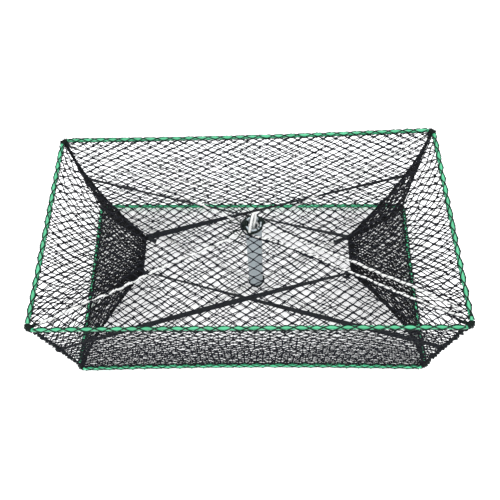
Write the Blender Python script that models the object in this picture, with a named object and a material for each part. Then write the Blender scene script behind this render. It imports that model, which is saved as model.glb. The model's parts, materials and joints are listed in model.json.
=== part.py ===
"""Folding crab trap: two coated rod frames held apart by a plastic prop post, netted on four sides,
with a net funnel at each end. Metres, +Z up, +X along the long side, -Y is the front.
The origin is the centre of the footprint, on the plane the trap stands on."""

import math
from collections import namedtuple

import bmesh
import bpy
from mathutils import Matrix, Vector

# ---------------------------------------------------------------- driving dimensions
FRAME_LENGTH = 0.608      # between the centrelines of the short rails, along X
FRAME_DEPTH = 0.328       # between the centrelines of the long rails, along Y
FRAME_SPACING = 0.232     # between the two frames' planes
ROD_RADIUS = 0.0035
BEND_RADIUS = 0.010       # bend of the rod at a corner, to its centreline
LASH_RADIUS = 0.0046      # helix of the twine round a rail
TWINE_RADIUS = 0.0010
ROPE_RADIUS = 0.0020
POST_RADIUS = 0.0125
POST_X, POST_Y = 0.010, -0.003
SLIT_ANGLE = math.radians(-26.6)   # the access slit runs from the post to the front right corner
NET_THICKNESS = 0.0012    # top and bottom nets
WALL_THICKNESS = 0.0015   # front, back and funnel nets
EDGE = 0.0062             # how far netting stays from a rail's centreline
GAP = 0.0003              # between a rope and the net it lies on

# ---------------------------------------------------------------- derived places
HALF_LENGTH, HALF_DEPTH = FRAME_LENGTH / 2, FRAME_DEPTH / 2
Z_BOTTOM = LASH_RADIUS + TWINE_RADIUS        # plane of the bottom frame's centreline
Z_TOP = Z_BOTTOM + FRAME_SPACING
Z_MID = (Z_BOTTOM + Z_TOP) / 2
Z_BOTTOM_NET = Z_BOTTOM - 0.0020
Z_TOP_NET = Z_TOP - 0.0012
Z_FOOT = Z_BOTTOM + 0.0033                   # underside of the post
Z_HEAD = Z_TOP + 0.0100                      # upper end of the post
PIVOT_OFFSET = POST_RADIUS + 0.0025          # tipping edge, from the post's axis
BEND_INSET = BEND_RADIUS * (1 - math.sqrt(0.5))   # rails' meeting point to mid-bend, on X or Y

UP = Vector((0.0, 0.0, 1.0))
POST_AXIS = Vector((POST_X, POST_Y, 0.0))
ALONG = Vector((math.cos(SLIT_ANGLE), math.sin(SLIT_ANGLE), 0.0))     # down the access slit
ACROSS = Vector((-math.sin(SLIT_ANGLE), math.cos(SLIT_ANGLE), 0.0))

# side along X, side along Y, turn of the corner wrap about Z
CORNERS = {
    "front_left": (-1, -1, math.pi),
    "front_right": (1, -1, -math.pi / 2),
    "back_left": (-1, 1, math.pi / 2),
    "back_right": (1, 1, 0.0),
}

# the slit at the inner end of each funnel: its x, and the y of its front and back ends
FunnelSlit = namedtuple("FunnelSlit", "x front back")
LEFT_SLIT = FunnelSlit(x=-0.180, front=-0.027, back=0.037)
RIGHT_SLIT = FunnelSlit(x=0.171, front=-0.033, back=0.034)


def slit_point(along, across, z):
    """A point given from the post's axis, down and across the access slit."""
    return POST_AXIS + ALONG * along + ACROSS * across + UP * z


def corner_point(corner, z):
    """The middle of the rod's bend at a corner, at height z."""
    side_x, side_y, _ = CORNERS[corner]
    return Vector((side_x * (HALF_LENGTH - BEND_INSET), side_y * (HALF_DEPTH - BEND_INSET), z))


# ---------------------------------------------------------------- materials
# colour, roughness
FINISHES = {
    "coated_rod": ((0.10, 0.62, 0.33), 0.35),
    "twine": ((0.012, 0.014, 0.016), 0.75),
    "net": ((0.018, 0.021, 0.024), 0.80),
    "strap": ((0.022, 0.026, 0.028), 0.55),
    "rope": ((0.80, 0.79, 0.74), 0.70),
    "post": ((0.40, 0.45, 0.46), 0.45),
}


def own_material(name, kind):
    """Each piece has a material of its own, from the finish of its kind."""
    colour, roughness = FINISHES[kind]
    material = bpy.data.materials.new(name)
    material.use_nodes = True
    inputs = material.node_tree.nodes["Principled BSDF"].inputs
    inputs["Base Color"].default_value = (*colour, 1.0)
    inputs["Roughness"].default_value = roughness
    inputs["Metallic"].default_value = 0.0
    return material


# ---------------------------------------------------------------- objects and meshes
SHARP_ANGLE = math.radians(50.0)   # edges of a smooth piece stay sharp beyond this


def finish_mesh(name, bm, smooth=False, origin=Vector()):
    bmesh.ops.recalc_face_normals(bm, faces=bm.faces)
    bmesh.ops.translate(bm, verts=bm.verts, vec=-origin)
    mesh = bpy.data.meshes.new(name)
    bm.to_mesh(mesh)
    bm.free()
    if smooth:
        mesh.shade_smooth()
        mesh.set_sharp_from_angle(angle=SHARP_ANGLE)
    return mesh


def place(name, mesh, kind, parent=None, location=None, turn=0.0):
    """An object showing a mesh, which copies of a repeated piece share."""
    obj = bpy.data.objects.new(name, mesh)
    bpy.context.scene.collection.objects.link(obj)
    if not mesh.materials:
        mesh.materials.append(None)
    # the material sits on the object, as the mesh may be shared
    obj.material_slots[0].link = "OBJECT"
    obj.material_slots[0].material = own_material(name + "_finish", kind)
    if parent:
        obj.parent = parent
    if location is not None:
        obj.location = Vector(location) - (parent.location if parent else Vector())
    obj.rotation_euler = (0.0, 0.0, turn)
    return obj


def add_object(name, bm, kind, parent=None, smooth=False):
    """Turns a mesh built in world coordinates into an object, under its carrier if it has one."""
    origin = parent.location.copy() if parent else Vector()
    return place(name, finish_mesh(name, bm, smooth, origin), kind, parent)


def carrier(name, location):
    empty = bpy.data.objects.new(name, None)
    empty.empty_display_size = 0.03
    empty.location = location
    bpy.context.scene.collection.objects.link(empty)
    return empty


# ---------------------------------------------------------------- shapes
def ring_section(radius, sides, phase=0.5):
    """A regular polygon; phase turns it by that share of a side."""
    angles = [2 * math.pi * (k + phase) / sides for k in range(sides)]
    return [(radius * math.cos(angle), radius * math.sin(angle)) for angle in angles]


def arc(centre, radius, start, stop, steps, z=0.0):
    angles = [start + (stop - start) * k / steps for k in range(steps + 1)]
    return [
        Vector((centre[0] + radius * math.cos(angle), centre[1] + radius * math.sin(angle), z))
        for angle in angles
    ]


def stadium(low, high, radius, steps):
    """A slot outline on the XY plane, with round ends centred at x = low and x = high."""
    quarter = math.pi / 2
    return (
        arc((low, 0), radius, quarter, 3 * quarter, steps)
        + arc((high, 0), radius, -quarter, quarter, steps)
    )


def straight(start, end, steps):
    return [start.lerp(end, k / steps) for k in range(steps + 1)]


def sweep(bm, path, section, side, closed=False, capped=True):
    """Rings of a section along a path, bridged face by face; an open path may be capped.
    side is the section's first axis, its second is tangent x first.
    section may be a function of i, and side a function of i and the tangent."""
    count, rings = len(path), []
    for i, point in enumerate(path):
        before = path[i - 1] if i or closed else path[i]
        after = path[(i + 1) % count] if i < count - 1 or closed else path[i]
        tangent = (after - before).normalized()
        first = side(i, tangent) if callable(side) else side
        first = (first - tangent * first.dot(tangent)).normalized()
        second = tangent.cross(first)
        outline = section(i) if callable(section) else section
        rings.append([bm.verts.new(point + first * u + second * v) for u, v in outline])
    for i in range(count if closed else count - 1):
        bridge(bm, rings[i], rings[(i + 1) % count])
    if capped and not closed:
        bm.faces.new(rings[0][::-1])
        bm.faces.new(rings[-1])
    return rings


def bridge(bm, one, two):
    for k in range(len(one)):
        following = (k + 1) % len(one)
        bm.faces.new((one[k], one[following], two[following], two[k]))


def plate(bm, corners, thickness):
    """A flat sheet with the given outline, half its thickness to each side."""
    normal = (corners[1] - corners[0]).cross(corners[2] - corners[0]).normalized()
    face = bm.faces.new([bm.verts.new(corner - normal * thickness / 2) for corner in corners])
    extruded = bmesh.ops.extrude_face_region(bm, geom=[face])
    raised = [item for item in extruded["geom"] if isinstance(item, bmesh.types.BMVert)]
    bmesh.ops.translate(bm, verts=raised, vec=normal * thickness)


def panel(name, corners, thickness, parent=None):
    """A flat piece of net."""
    bm = bmesh.new()
    plate(bm, [Vector(corner) for corner in corners], thickness)
    return add_object(name, bm, "net", parent)


def round_rope(name, path, side=UP, parent=None):
    bm = bmesh.new()
    sweep(bm, path, ring_section(ROPE_RADIUS, 8), side)
    return add_object(name, bm, "rope", parent, smooth=True)


# ---------------------------------------------------------------- frames
def frame(name, z, parent):
    centre_x, centre_y = HALF_LENGTH - BEND_RADIUS, HALF_DEPTH - BEND_RADIUS
    quarter = math.pi / 2
    path = []
    for k, (side_x, side_y) in enumerate(((1, 1), (-1, 1), (-1, -1), (1, -1))):
        centre = (side_x * centre_x, side_y * centre_y)
        path += arc(centre, BEND_RADIUS, k * quarter, (k + 1) * quarter, 5, z)
    bm = bmesh.new()
    sweep(bm, path, ring_section(ROD_RADIUS, 8), UP, closed=True)
    add_object(name, bm, "coated_rod", parent, smooth=True)


# ---------------------------------------------------------------- twine lashed round the rails
LASH_PITCH = 0.0208
LASH_END = 0.0140        # from a corner of the rails to the end of a lashing
STEPS_PER_TURN = 8


def lashing_mesh(name, rail_length):
    """One twine wound along a rail that lies on X."""
    length = rail_length - 2 * LASH_END
    steps = round(length / LASH_PITCH) * STEPS_PER_TURN

    def outward(i):
        angle = 2 * math.pi * i / STEPS_PER_TURN
        return Vector((0.0, math.cos(angle), math.sin(angle)))

    path = [
        Vector((length * (i / steps - 0.5), 0.0, 0.0)) + outward(i) * LASH_RADIUS
        for i in range(steps + 1)
    ]
    bm = bmesh.new()
    section = ring_section(TWINE_RADIUS, 3, phase=0.0)
    sweep(bm, path, section, lambda i, tangent: outward(i))
    return finish_mesh(name, bm)


def lashings(levels):
    long_mesh = lashing_mesh("long_lashing", FRAME_LENGTH)
    short_mesh = lashing_mesh("short_lashing", FRAME_DEPTH)
    rails = (
        ("front", long_mesh, 0, -HALF_DEPTH, 0.0),
        ("back", long_mesh, 0, HALF_DEPTH, 0.0),
        ("left", short_mesh, -HALF_LENGTH, 0, math.pi / 2),
        ("right", short_mesh, HALF_LENGTH, 0, math.pi / 2),
    )
    for level, z, parent in levels:
        for rail, mesh, x, y, turn in rails:
            place(f"{level}_{rail}_lashing", mesh, "twine", parent, (x, y, z), turn)


# ---------------------------------------------------------------- twine bound round frame corners
# its flat underside is level with the lashing
WRAP_RADIUS = (LASH_RADIUS + TWINE_RADIUS) / math.cos(math.pi / 8)
WRAP_BORE = 0.0040       # radius


def corner_wrap_mesh():
    """A sleeve that follows the bend of the rod, open through its middle."""
    bm = bmesh.new()
    path = arc((0, 0), BEND_RADIUS, 0.0, math.pi / 2, 4)
    outer = sweep(bm, path, ring_section(WRAP_RADIUS, 8), UP, capped=False)
    inner = sweep(bm, path, ring_section(WRAP_BORE, 8), UP, capped=False)
    for end in (0, -1):
        bridge(bm, outer[end], inner[end])
    return finish_mesh("corner_wrap", bm, smooth=True)


def corner_wraps(levels):
    mesh = corner_wrap_mesh()
    centre_x, centre_y = HALF_LENGTH - BEND_RADIUS, HALF_DEPTH - BEND_RADIUS
    for level, z, parent in levels:
        for corner, (side_x, side_y, turn) in CORNERS.items():
            spot = (side_x * centre_x, side_y * centre_y, z)
            place(f"{level}_{corner}_wrap", mesh, "twine", parent, spot, turn)


# ---------------------------------------------------------------- upright cords at the corners
CORD_END = 0.0060                        # from a frame's plane to the end of a cord
CORD_THICK, CORD_THIN = 0.0026, 0.0020   # radii, by turns up the cord


def corner_cord(corner):
    path = straight(
        corner_point(corner, Z_BOTTOM + CORD_END), corner_point(corner, Z_TOP - CORD_END), 12
    )
    bm = bmesh.new()
    sweep(
        bm,
        path,
        lambda i: ring_section(CORD_THICK if i % 2 else CORD_THIN, 6),
        Vector((1, 0, 0)),
    )
    add_object(f"{corner}_corner_cord", bm, "twine", smooth=True)


# ---------------------------------------------------------------- flat net panels
CORNER_CUT = 0.0080
WALL_END = 0.0090        # from a short rail's centreline to the end of a wall net


def level_panel(name, z, parent=None):
    """A net inside a frame, its corners cut back from the bound bends of the rod."""
    x, y = HALF_LENGTH - EDGE, HALF_DEPTH - EDGE
    outline = [(-x, -y + CORNER_CUT), (-x + CORNER_CUT, -y)]
    outline += [(x - CORNER_CUT, -y), (x, -y + CORNER_CUT)]
    outline += [(-u, -v) for u, v in outline]
    return panel(name, [(u, v, z) for u, v in outline], NET_THICKNESS, parent)


def wall_panel(name, y):
    x, low, high = HALF_LENGTH - WALL_END, Z_BOTTOM + EDGE, Z_TOP - EDGE
    panel(name, [(-x, y, low), (x, y, low), (x, y, high), (-x, y, high)], WALL_THICKNESS)


# ---------------------------------------------------------------- access slit
SLIT_HALF_WIDTH = 0.0180
SLIT_REACH = 0.272       # from the post's axis to the centre of the slit's far end
CUTTER_HEIGHT = 0.012


def cut_access_slit(net, parent):
    """Cuts the slit from the post's hole towards the front right corner."""
    outline = stadium(0.0, SLIT_REACH, SLIT_HALF_WIDTH, 8)
    corners = [slit_point(spot.x, spot.y, Z_TOP) for spot in outline]
    cutter = panel("slit_cutter", corners, CUTTER_HEIGHT, parent)
    cutter.hide_render = True
    cutter.display_type = "WIRE"
    cut = net.modifiers.new("access_slit", "BOOLEAN")
    cut.operation = "DIFFERENCE"
    cut.object = cutter
    cut.solver = "EXACT"


# ---------------------------------------------------------------- end funnels
SLIT_LIP = 0.0036            # half height of the open funnel slit
RIM_RADIUS = 0.0014
MOUTH_HALF_WIDTH = HALF_DEPTH - 0.0140
# upper and lower nets
MOUTH_HALF_HEIGHT = FRAME_SPACING / 2 - EDGE - 0.0010
LIP_SETBACK = 0.0045         # from the slit towards the mouth
LIP_END = 0.0020             # from each end of the slit inwards
# front and back nets
SIDE_MOUTH_SETBACK = 0.0020  # from the short rail's centreline inwards
SIDE_MOUTH_Y = MOUTH_HALF_WIDTH + 0.0040
SIDE_MOUTH_HALF_HEIGHT = FRAME_SPACING / 2 - 0.0160
SIDE_LIP_SETBACK = 0.0060
SIDE_LIP_END = 0.0015        # from each end of the slit outwards
SIDE_LIP_HALF_HEIGHT = 0.0012


def funnel_rim(side, slit):
    """The cord round the slit."""
    outline = stadium(slit.front + SLIT_LIP, slit.back - SLIT_LIP, SLIT_LIP, 5)
    path = [Vector((slit.x, spot.x, Z_MID + spot.y)) for spot in outline]
    bm = bmesh.new()
    sweep(bm, path, ring_section(RIM_RADIUS, 6), Vector((1, 0, 0)), closed=True)
    add_object(f"{side}_funnel_rim", bm, "twine", smooth=True)


def funnel(side, slit, outward):
    """Four net panels from the end opening to the slit; outward is the end's sign on X."""
    x_mouth, x_lip = outward * HALF_LENGTH, slit.x + outward * LIP_SETBACK
    for name, sign in (("upper", 1), ("lower", -1)):
        z_mouth = Z_MID + sign * MOUTH_HALF_HEIGHT
        z_lip = Z_MID + sign * SLIT_LIP
        corners = [
            (x_mouth, -MOUTH_HALF_WIDTH, z_mouth),
            (x_mouth, MOUTH_HALF_WIDTH, z_mouth),
            (x_lip, slit.back - LIP_END, z_lip),
            (x_lip, slit.front + LIP_END, z_lip),
        ]
        panel(f"{side}_funnel_{name}", corners, WALL_THICKNESS)

    x_mouth = outward * (HALF_LENGTH - SIDE_MOUTH_SETBACK)
    x_lip = slit.x + outward * SIDE_LIP_SETBACK
    for name, sign, y_slit in (("front", -1, slit.front), ("back", 1, slit.back)):
        y_mouth, y_lip = sign * SIDE_MOUTH_Y, y_slit + sign * SIDE_LIP_END
        corners = [
            (x_mouth, y_mouth, Z_MID - SIDE_MOUTH_HALF_HEIGHT),
            (x_mouth, y_mouth, Z_MID + SIDE_MOUTH_HALF_HEIGHT),
            (x_lip, y_lip, Z_MID + SIDE_LIP_HALF_HEIGHT),
            (x_lip, y_lip, Z_MID - SIDE_LIP_HALF_HEIGHT),
        ]
        panel(f"{side}_funnel_{name}", corners, WALL_THICKNESS)
    funnel_rim(side, slit)


# ---------------------------------------------------------------- tension straps at mid height
STRAP_WIDTH, STRAP_THICKNESS = 0.0090, 0.0016
STRAP_FROM_CORD, STRAP_FROM_SLIT = 0.0085, 0.0075   # clear of the cord and of the slit's end
STRAP_STEPS = 14

# corner, x and y of the slit's end, rise at mid length, twist at the start and end in degrees
STRAPS = (
    ("front_left", RIGHT_SLIT.x, RIGHT_SLIT.front, 0.0060, 8, 70),
    ("front_right", LEFT_SLIT.x, LEFT_SLIT.front, -0.0060, -20, -75),
    ("back_left", RIGHT_SLIT.x, RIGHT_SLIT.back, 0.0060, 55, 80),
    ("back_right", LEFT_SLIT.x, LEFT_SLIT.back, -0.0060, 15, 40),
)


def strap(corner, x_slit, y_slit, rise, twist_from, twist_to):
    """A flat band from a corner cord to the far funnel's slit, turning about its own length."""
    start, end = corner_point(corner, Z_MID), Vector((x_slit, y_slit, Z_MID))
    way = (end - start).normalized()
    line = straight(start + way * STRAP_FROM_CORD, end - way * STRAP_FROM_SLIT, STRAP_STEPS)
    path = [
        point + UP * (rise * math.sin(math.pi * k / STRAP_STEPS))
        for k, point in enumerate(line)
    ]
    u, v = STRAP_WIDTH / 2, STRAP_THICKNESS / 2

    def turned(i, tangent):
        angle = math.radians(twist_from + (twist_to - twist_from) * i / STRAP_STEPS)
        return Matrix.Rotation(angle, 3, tangent) @ UP.cross(tangent)

    bm = bmesh.new()
    sweep(bm, path, [(u, v), (-u, v), (-u, -v), (u, -v)], turned)
    add_object(f"{corner}_strap", bm, "strap")


# ---------------------------------------------------------------- ropes across the top and bottom
ROPE_ON_NET = NET_THICKNESS / 2 + GAP + ROPE_RADIUS   # net's mid plane to the rope's centreline
Z_TOP_ROPE = Z_TOP_NET + ROPE_ON_NET
Z_BOTTOM_ROPE = Z_BOTTOM_NET + ROPE_ON_NET
TOP_ROPE_START, BOTTOM_ROPE_START = 0.0280, 0.0180    # from the post's axis
ROPE_END = 0.0140                                     # short of the middle of the bend


def corner_rope(level, corner, z, first, parent=None):
    """A rope from beside the post to a corner of the frame, lying on the net."""
    centre, end = POST_AXIS + UP * z, corner_point(corner, z)
    way = (end - centre).normalized()
    path = straight(centre + way * first, end - way * ROPE_END, 6)
    round_rope(f"{level}_{corner}_rope", path, parent=parent)


ROPE_LOOP_RADIUS = 0.0152  # of the slit rope round the post
ROPE_HALF_GAP = 0.0085     # half the distance between the slit's two rope edges
TAPER_LENGTH = 0.0600      # over which the rope closes from the loop to that gap
# distances down the slit from the post's axis
ROPE_STATIONS = (0.312, 0.25, 0.19, 0.13, 0.09, 0.06, 0.045, 0.03, 0.015)


def slit_rope(parent):
    """One rope down both edges of the access slit and round the far side of the post."""

    def half_gap(along):
        share = min(along / TAPER_LENGTH, 1.0)
        eased = share * share * (3 - 2 * share)
        return ROPE_LOOP_RADIUS + (ROPE_HALF_GAP - ROPE_LOOP_RADIUS) * eased

    spots = [(along, half_gap(along)) for along in ROPE_STATIONS]
    loop = arc((0, 0), ROPE_LOOP_RADIUS, math.pi / 2, 3 * math.pi / 2, 8)
    spots += [(spot.x, spot.y) for spot in loop]
    spots += [(along, -half_gap(along)) for along in reversed(ROPE_STATIONS)]
    path = [slit_point(along, across, Z_TOP_ROPE) for along, across in spots]
    round_rope("slit_rope", path, parent=parent)


# ---------------------------------------------------------------- knots tying slit rope to net
KNOT_RADII = (0.0034, 0.0026, 0.0023)
Z_KNOT = Z_TOP + 0.0021


def net_knot(name, along, across, parent):
    bm = bmesh.new()
    centre = slit_point(along, across, Z_KNOT)
    bmesh.ops.create_uvsphere(
        bm,
        u_segments=8,
        v_segments=6,
        radius=1.0,
        matrix=Matrix.Translation(centre) @ Matrix.Diagonal((*KNOT_RADII, 1.0)),
    )
    add_object(name, bm, "twine", parent, smooth=True)


# ---------------------------------------------------------------- prop post
POST_BORE = 0.0102       # radius
BINDING_BORE, BINDING_RADIUS = POST_RADIUS + 0.0005, 0.0146
BINDING_HEIGHT = 0.0040
Z_HEAD_BINDING, Z_FOOT_BINDING = Z_TOP + 0.0044, Z_FOOT + 0.0040   # undersides
LOOP_RADIUS = 0.0036     # bend of the head loop, to its centreline
Z_LOOP_BASE = Z_HEAD - 0.0160
Z_LOOP_BEND = Z_TOP + 0.0190


def sleeve(name, inner, outer, low, high, sides, kind, parent):
    """A straight tube round the post's axis, its profile spun through a full turn."""
    bm = bmesh.new()
    profile = [(outer, low), (outer, high), (inner, high), (inner, low)]
    verts = [bm.verts.new(POST_AXIS + Vector((radius, 0, z))) for radius, z in profile]
    edges = [bm.edges.new((verts[k], verts[(k + 1) % 4])) for k in range(4)]
    bmesh.ops.spin(
        bm,
        geom=verts + edges,
        cent=POST_AXIS,
        axis=UP,
        angle=2 * math.pi,
        steps=sides,
        use_merge=True,
    )
    bmesh.ops.remove_doubles(bm, verts=bm.verts, dist=0.00001)
    add_object(name, bm, kind, parent, smooth=True)


def binding(name, low, parent):
    """A band of twine round the post."""
    high = low + BINDING_HEIGHT
    sleeve(name, BINDING_BORE, BINDING_RADIUS, low, high, 20, "twine", parent)


def head_loop(parent):
    """The cord loop that stands out of the post's upper end."""
    z_middle = (Z_LOOP_BASE + Z_LOOP_BEND) / 2
    spots = [(-LOOP_RADIUS, Z_LOOP_BASE), (-LOOP_RADIUS, z_middle)]
    spots += [(spot.x, spot.y) for spot in arc((0, Z_LOOP_BEND), LOOP_RADIUS, math.pi, 0.0, 6)]
    spots += [(LOOP_RADIUS, z_middle), (LOOP_RADIUS, Z_LOOP_BASE)]
    path = [POST_AXIS + Vector((x, 0, z)) for x, z in spots]
    round_rope("post_head_loop", path, Vector((0, 1, 0)), parent)


# ---------------------------------------------------------------- the whole trap
def build():
    for old in list(bpy.data.objects):
        bpy.data.objects.remove(old, do_unlink=True)

    # what moves: the top frame, and the post about its tipping edge
    top_carrier = carrier("top_frame_carrier", (0.0, 0.0, Z_TOP))
    post_pivot = carrier("post_pivot", slit_point(PIVOT_OFFSET, 0.0, Z_FOOT))

    levels = (("bottom", Z_BOTTOM, None), ("top", Z_TOP, top_carrier))
    for level, z, parent in levels:
        frame(f"{level}_frame", z, parent)
    lashings(levels)
    corner_wraps(levels)
    for corner in CORNERS:
        corner_cord(corner)

    level_panel("bottom_net", Z_BOTTOM_NET)
    top_net = level_panel("top_net", Z_TOP_NET, top_carrier)
    wall_panel("front_net", -HALF_DEPTH)
    wall_panel("back_net", HALF_DEPTH)
    cut_access_slit(top_net, top_carrier)

    funnel("left", LEFT_SLIT, outward=-1)
    funnel("right", RIGHT_SLIT, outward=1)
    for row in STRAPS:
        strap(*row)

    # the slit takes the place of a top rope to the front right corner
    for corner in ("front_left", "back_left", "back_right"):
        corner_rope("top", corner, Z_TOP_ROPE, TOP_ROPE_START, top_carrier)
    for corner in CORNERS:
        corner_rope("bottom", corner, Z_BOTTOM_ROPE, BOTTOM_ROPE_START)
    slit_rope(top_carrier)
    net_knot("left_net_knot", -0.0180, -0.0150, top_carrier)
    net_knot("right_net_knot", 0.0060, 0.0215, top_carrier)

    sleeve("prop_post", POST_BORE, POST_RADIUS, Z_FOOT, Z_HEAD, 24, "post", post_pivot)
    binding("post_head_binding", Z_HEAD_BINDING, post_pivot)
    binding("post_foot_binding", Z_FOOT_BINDING, post_pivot)
    head_loop(post_pivot)


build()
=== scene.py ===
"""Looks of a folding crab trap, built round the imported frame. Metres, +Z up.

Two level rod frames, one above the other, are joined by corner cords and netting. X runs left to
right between the two funnels, and Y from front to back. A hollow post stands between the frames,
and a slit in the top net runs away from it.
"""

import json
import math
from itertools import count
from math import pi

import bpy
import numpy as np
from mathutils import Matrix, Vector


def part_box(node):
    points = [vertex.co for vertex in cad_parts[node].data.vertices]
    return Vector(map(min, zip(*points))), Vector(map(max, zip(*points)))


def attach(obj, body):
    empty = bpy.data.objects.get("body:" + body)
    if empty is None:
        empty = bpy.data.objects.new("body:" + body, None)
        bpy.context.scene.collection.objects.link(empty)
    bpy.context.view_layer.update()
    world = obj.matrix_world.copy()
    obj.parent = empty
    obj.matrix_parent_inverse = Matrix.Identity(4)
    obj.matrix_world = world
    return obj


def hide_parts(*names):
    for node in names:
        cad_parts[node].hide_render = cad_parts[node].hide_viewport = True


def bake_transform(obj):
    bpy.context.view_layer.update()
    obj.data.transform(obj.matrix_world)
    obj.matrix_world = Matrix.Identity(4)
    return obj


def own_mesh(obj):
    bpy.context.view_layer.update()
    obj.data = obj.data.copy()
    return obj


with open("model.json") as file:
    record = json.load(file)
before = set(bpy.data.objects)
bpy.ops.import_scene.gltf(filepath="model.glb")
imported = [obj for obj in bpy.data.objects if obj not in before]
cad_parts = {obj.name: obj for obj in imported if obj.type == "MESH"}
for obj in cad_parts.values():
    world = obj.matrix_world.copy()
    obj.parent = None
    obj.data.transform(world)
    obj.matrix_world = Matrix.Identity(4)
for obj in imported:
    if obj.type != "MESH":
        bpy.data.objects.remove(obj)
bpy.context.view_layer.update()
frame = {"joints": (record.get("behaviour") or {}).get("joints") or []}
rng = np.random.default_rng(7)

# ---------------------------------------------------------------- places, read from the frame
TURN = 2 * pi
MM = 0.001
X, Y, Z = np.eye(3)
ROD = 0.0027                                    # radius of the frame rod
BEND = 0.010                                    # radius of a frame's corner, at the rod's centre
INSET = BEND * (1 - math.sqrt(0.5))             # from the square corner to the bend, along X or Y
low_box, top_box, post_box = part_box("bottom_frame"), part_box("top_frame"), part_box("prop_post")
BOX_ROD = (low_box[1][2] - low_box[0][2]) / 2   # radius of the rod in the CAD frame
ZB = (low_box[0][2] + low_box[1][2]) / 2        # heights of the bottom frame, top frame and middle
ZT = (top_box[0][2] + top_box[1][2]) / 2
ZM = (ZB + ZT) / 2
HX, HY = low_box[1][0] - BOX_ROD, low_box[1][1] - BOX_ROD
POST = np.array([(post_box[0][0] + post_box[1][0]) / 2, (post_box[0][1] + post_box[1][1]) / 2, 0.0])
Z_FOOT, Z_HEAD = post_box[0][2], post_box[1][2]
POST_R, POST_BORE = (post_box[1][0] - post_box[0][0]) / 2, 0.0102
tilt = next(joint for joint in frame["joints"] if joint["name"] == "post_tilt")
ACROSS = np.array(tilt["axis"], float)          # across the slit in the top net
ALONG = np.array([ACROSS[1], -ACROSS[0], 0.0])  # along the slit, away from the post
RIM_R = 0.0014                                  # radius of the funnel rim in the CAD
EYE = np.array([0.02736, -0.39256, 0.95466 + ZB])
CORNERS = {
    "front_left": (-1, -1), "front_right": (1, -1), "back_left": (-1, 1), "back_right": (1, 1),
}
LEVELS = (("bottom", ZB, "base"), ("top", ZT, "top"))


def slit_of(side):
    """The inner opening of a funnel: its x, and the y of its front and back ends."""
    low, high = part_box(f"{side}_funnel_rim")
    return (low[0] + high[0]) / 2, low[1] + RIM_R, high[1] - RIM_R


SLIT = {side: slit_of(side) for side in ("left", "right")}


# ---------------------------------------------------------------- materials
class Shader:
    """A node material, with short calls for the nodes used here."""

    def __init__(self, name):
        self.mat = bpy.data.materials.new(name)
        self.mat.use_nodes = True
        self.tree = self.mat.node_tree
        self.bsdf = self.tree.nodes["Principled BSDF"]

    def feed(self, owner, inputs):
        """Links each input to a socket, or sets its value."""
        for key, value in inputs.items():
            if isinstance(value, bpy.types.NodeSocket):
                self.tree.links.new(value, owner.inputs[key])
            else:
                owner.inputs[key].default_value = value

    def surface(self, inputs):
        self.feed(self.bsdf, inputs)

    def node(self, kind, inputs=None, **settings):
        made = self.tree.nodes.new(kind)
        for key, value in settings.items():
            setattr(made, key, value)
        self.feed(made, inputs or {})
        return made

    def maths(self, operation, *values):
        made = self.node("ShaderNodeMath", dict(enumerate(values)), operation=operation)
        return made.outputs[0]

    def weighted(self, *parts):
        """The sum of (socket, weight) parts."""
        total = None
        for socket, weight in parts:
            part = self.maths("MULTIPLY", socket, weight)
            total = part if total is None else self.maths("ADD", total, part)
        return total

    def noise(self, scale, detail=3.0, rough=0.55, coords=None):
        if coords is None:
            coords = self.node("ShaderNodeTexCoord").outputs["Object"]
        inputs = {"Scale": scale, "Detail": detail, "Roughness": rough, "Vector": coords}
        return self.node("ShaderNodeTexNoise", inputs).outputs["Fac"]

    def ramp(self, factor, *stops):
        """A colour ramp through (position, colour) stops."""
        made = self.node("ShaderNodeValToRGB", {"Fac": factor})
        elements = made.color_ramp.elements
        while len(elements) < len(stops):
            elements.new(0.5)
        for element, (position, colour) in zip(elements, stops):
            element.position = position
            element.color = (*colour, 1.0)
        return made.outputs["Color"]

    def span(self, factor, low, high):
        inputs = {"To Min": low, "To Max": high, "Value": factor}
        return self.node("ShaderNodeMapRange", inputs).outputs["Result"]

    def lay_coords(self):
        """Length along a piece and share of a turn round it, kept in the mesh."""
        coords = self.node("ShaderNodeUVMap", uv_map="lay").outputs["UV"]
        split = self.node("ShaderNodeSeparateXYZ", {0: coords})
        return split.outputs["X"], split.outputs["Y"]

    def patches(self, colour, scale, rough, edges, amount, tint):
        """Lays ragged patches of a tint over a colour; edges are where they fade in."""
        spots = self.noise(scale, detail=6.0, rough=rough)
        mask = self.ramp(spots, (edges[0], (0, 0, 0)), (edges[1], (1, 1, 1)))
        # sockets 6, 7 and output 2 are the colours of a mix node
        inputs = {"Factor": self.maths("MULTIPLY", mask, amount), 6: colour, 7: (*tint, 1)}
        return self.node("ShaderNodeMix", inputs, data_type="RGBA").outputs[2]

    def bump(self, height, strength, distance):
        inputs = {"Strength": strength, "Distance": distance, "Height": height}
        self.surface({"Normal": self.node("ShaderNodeBump", inputs).outputs["Normal"]})


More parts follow.
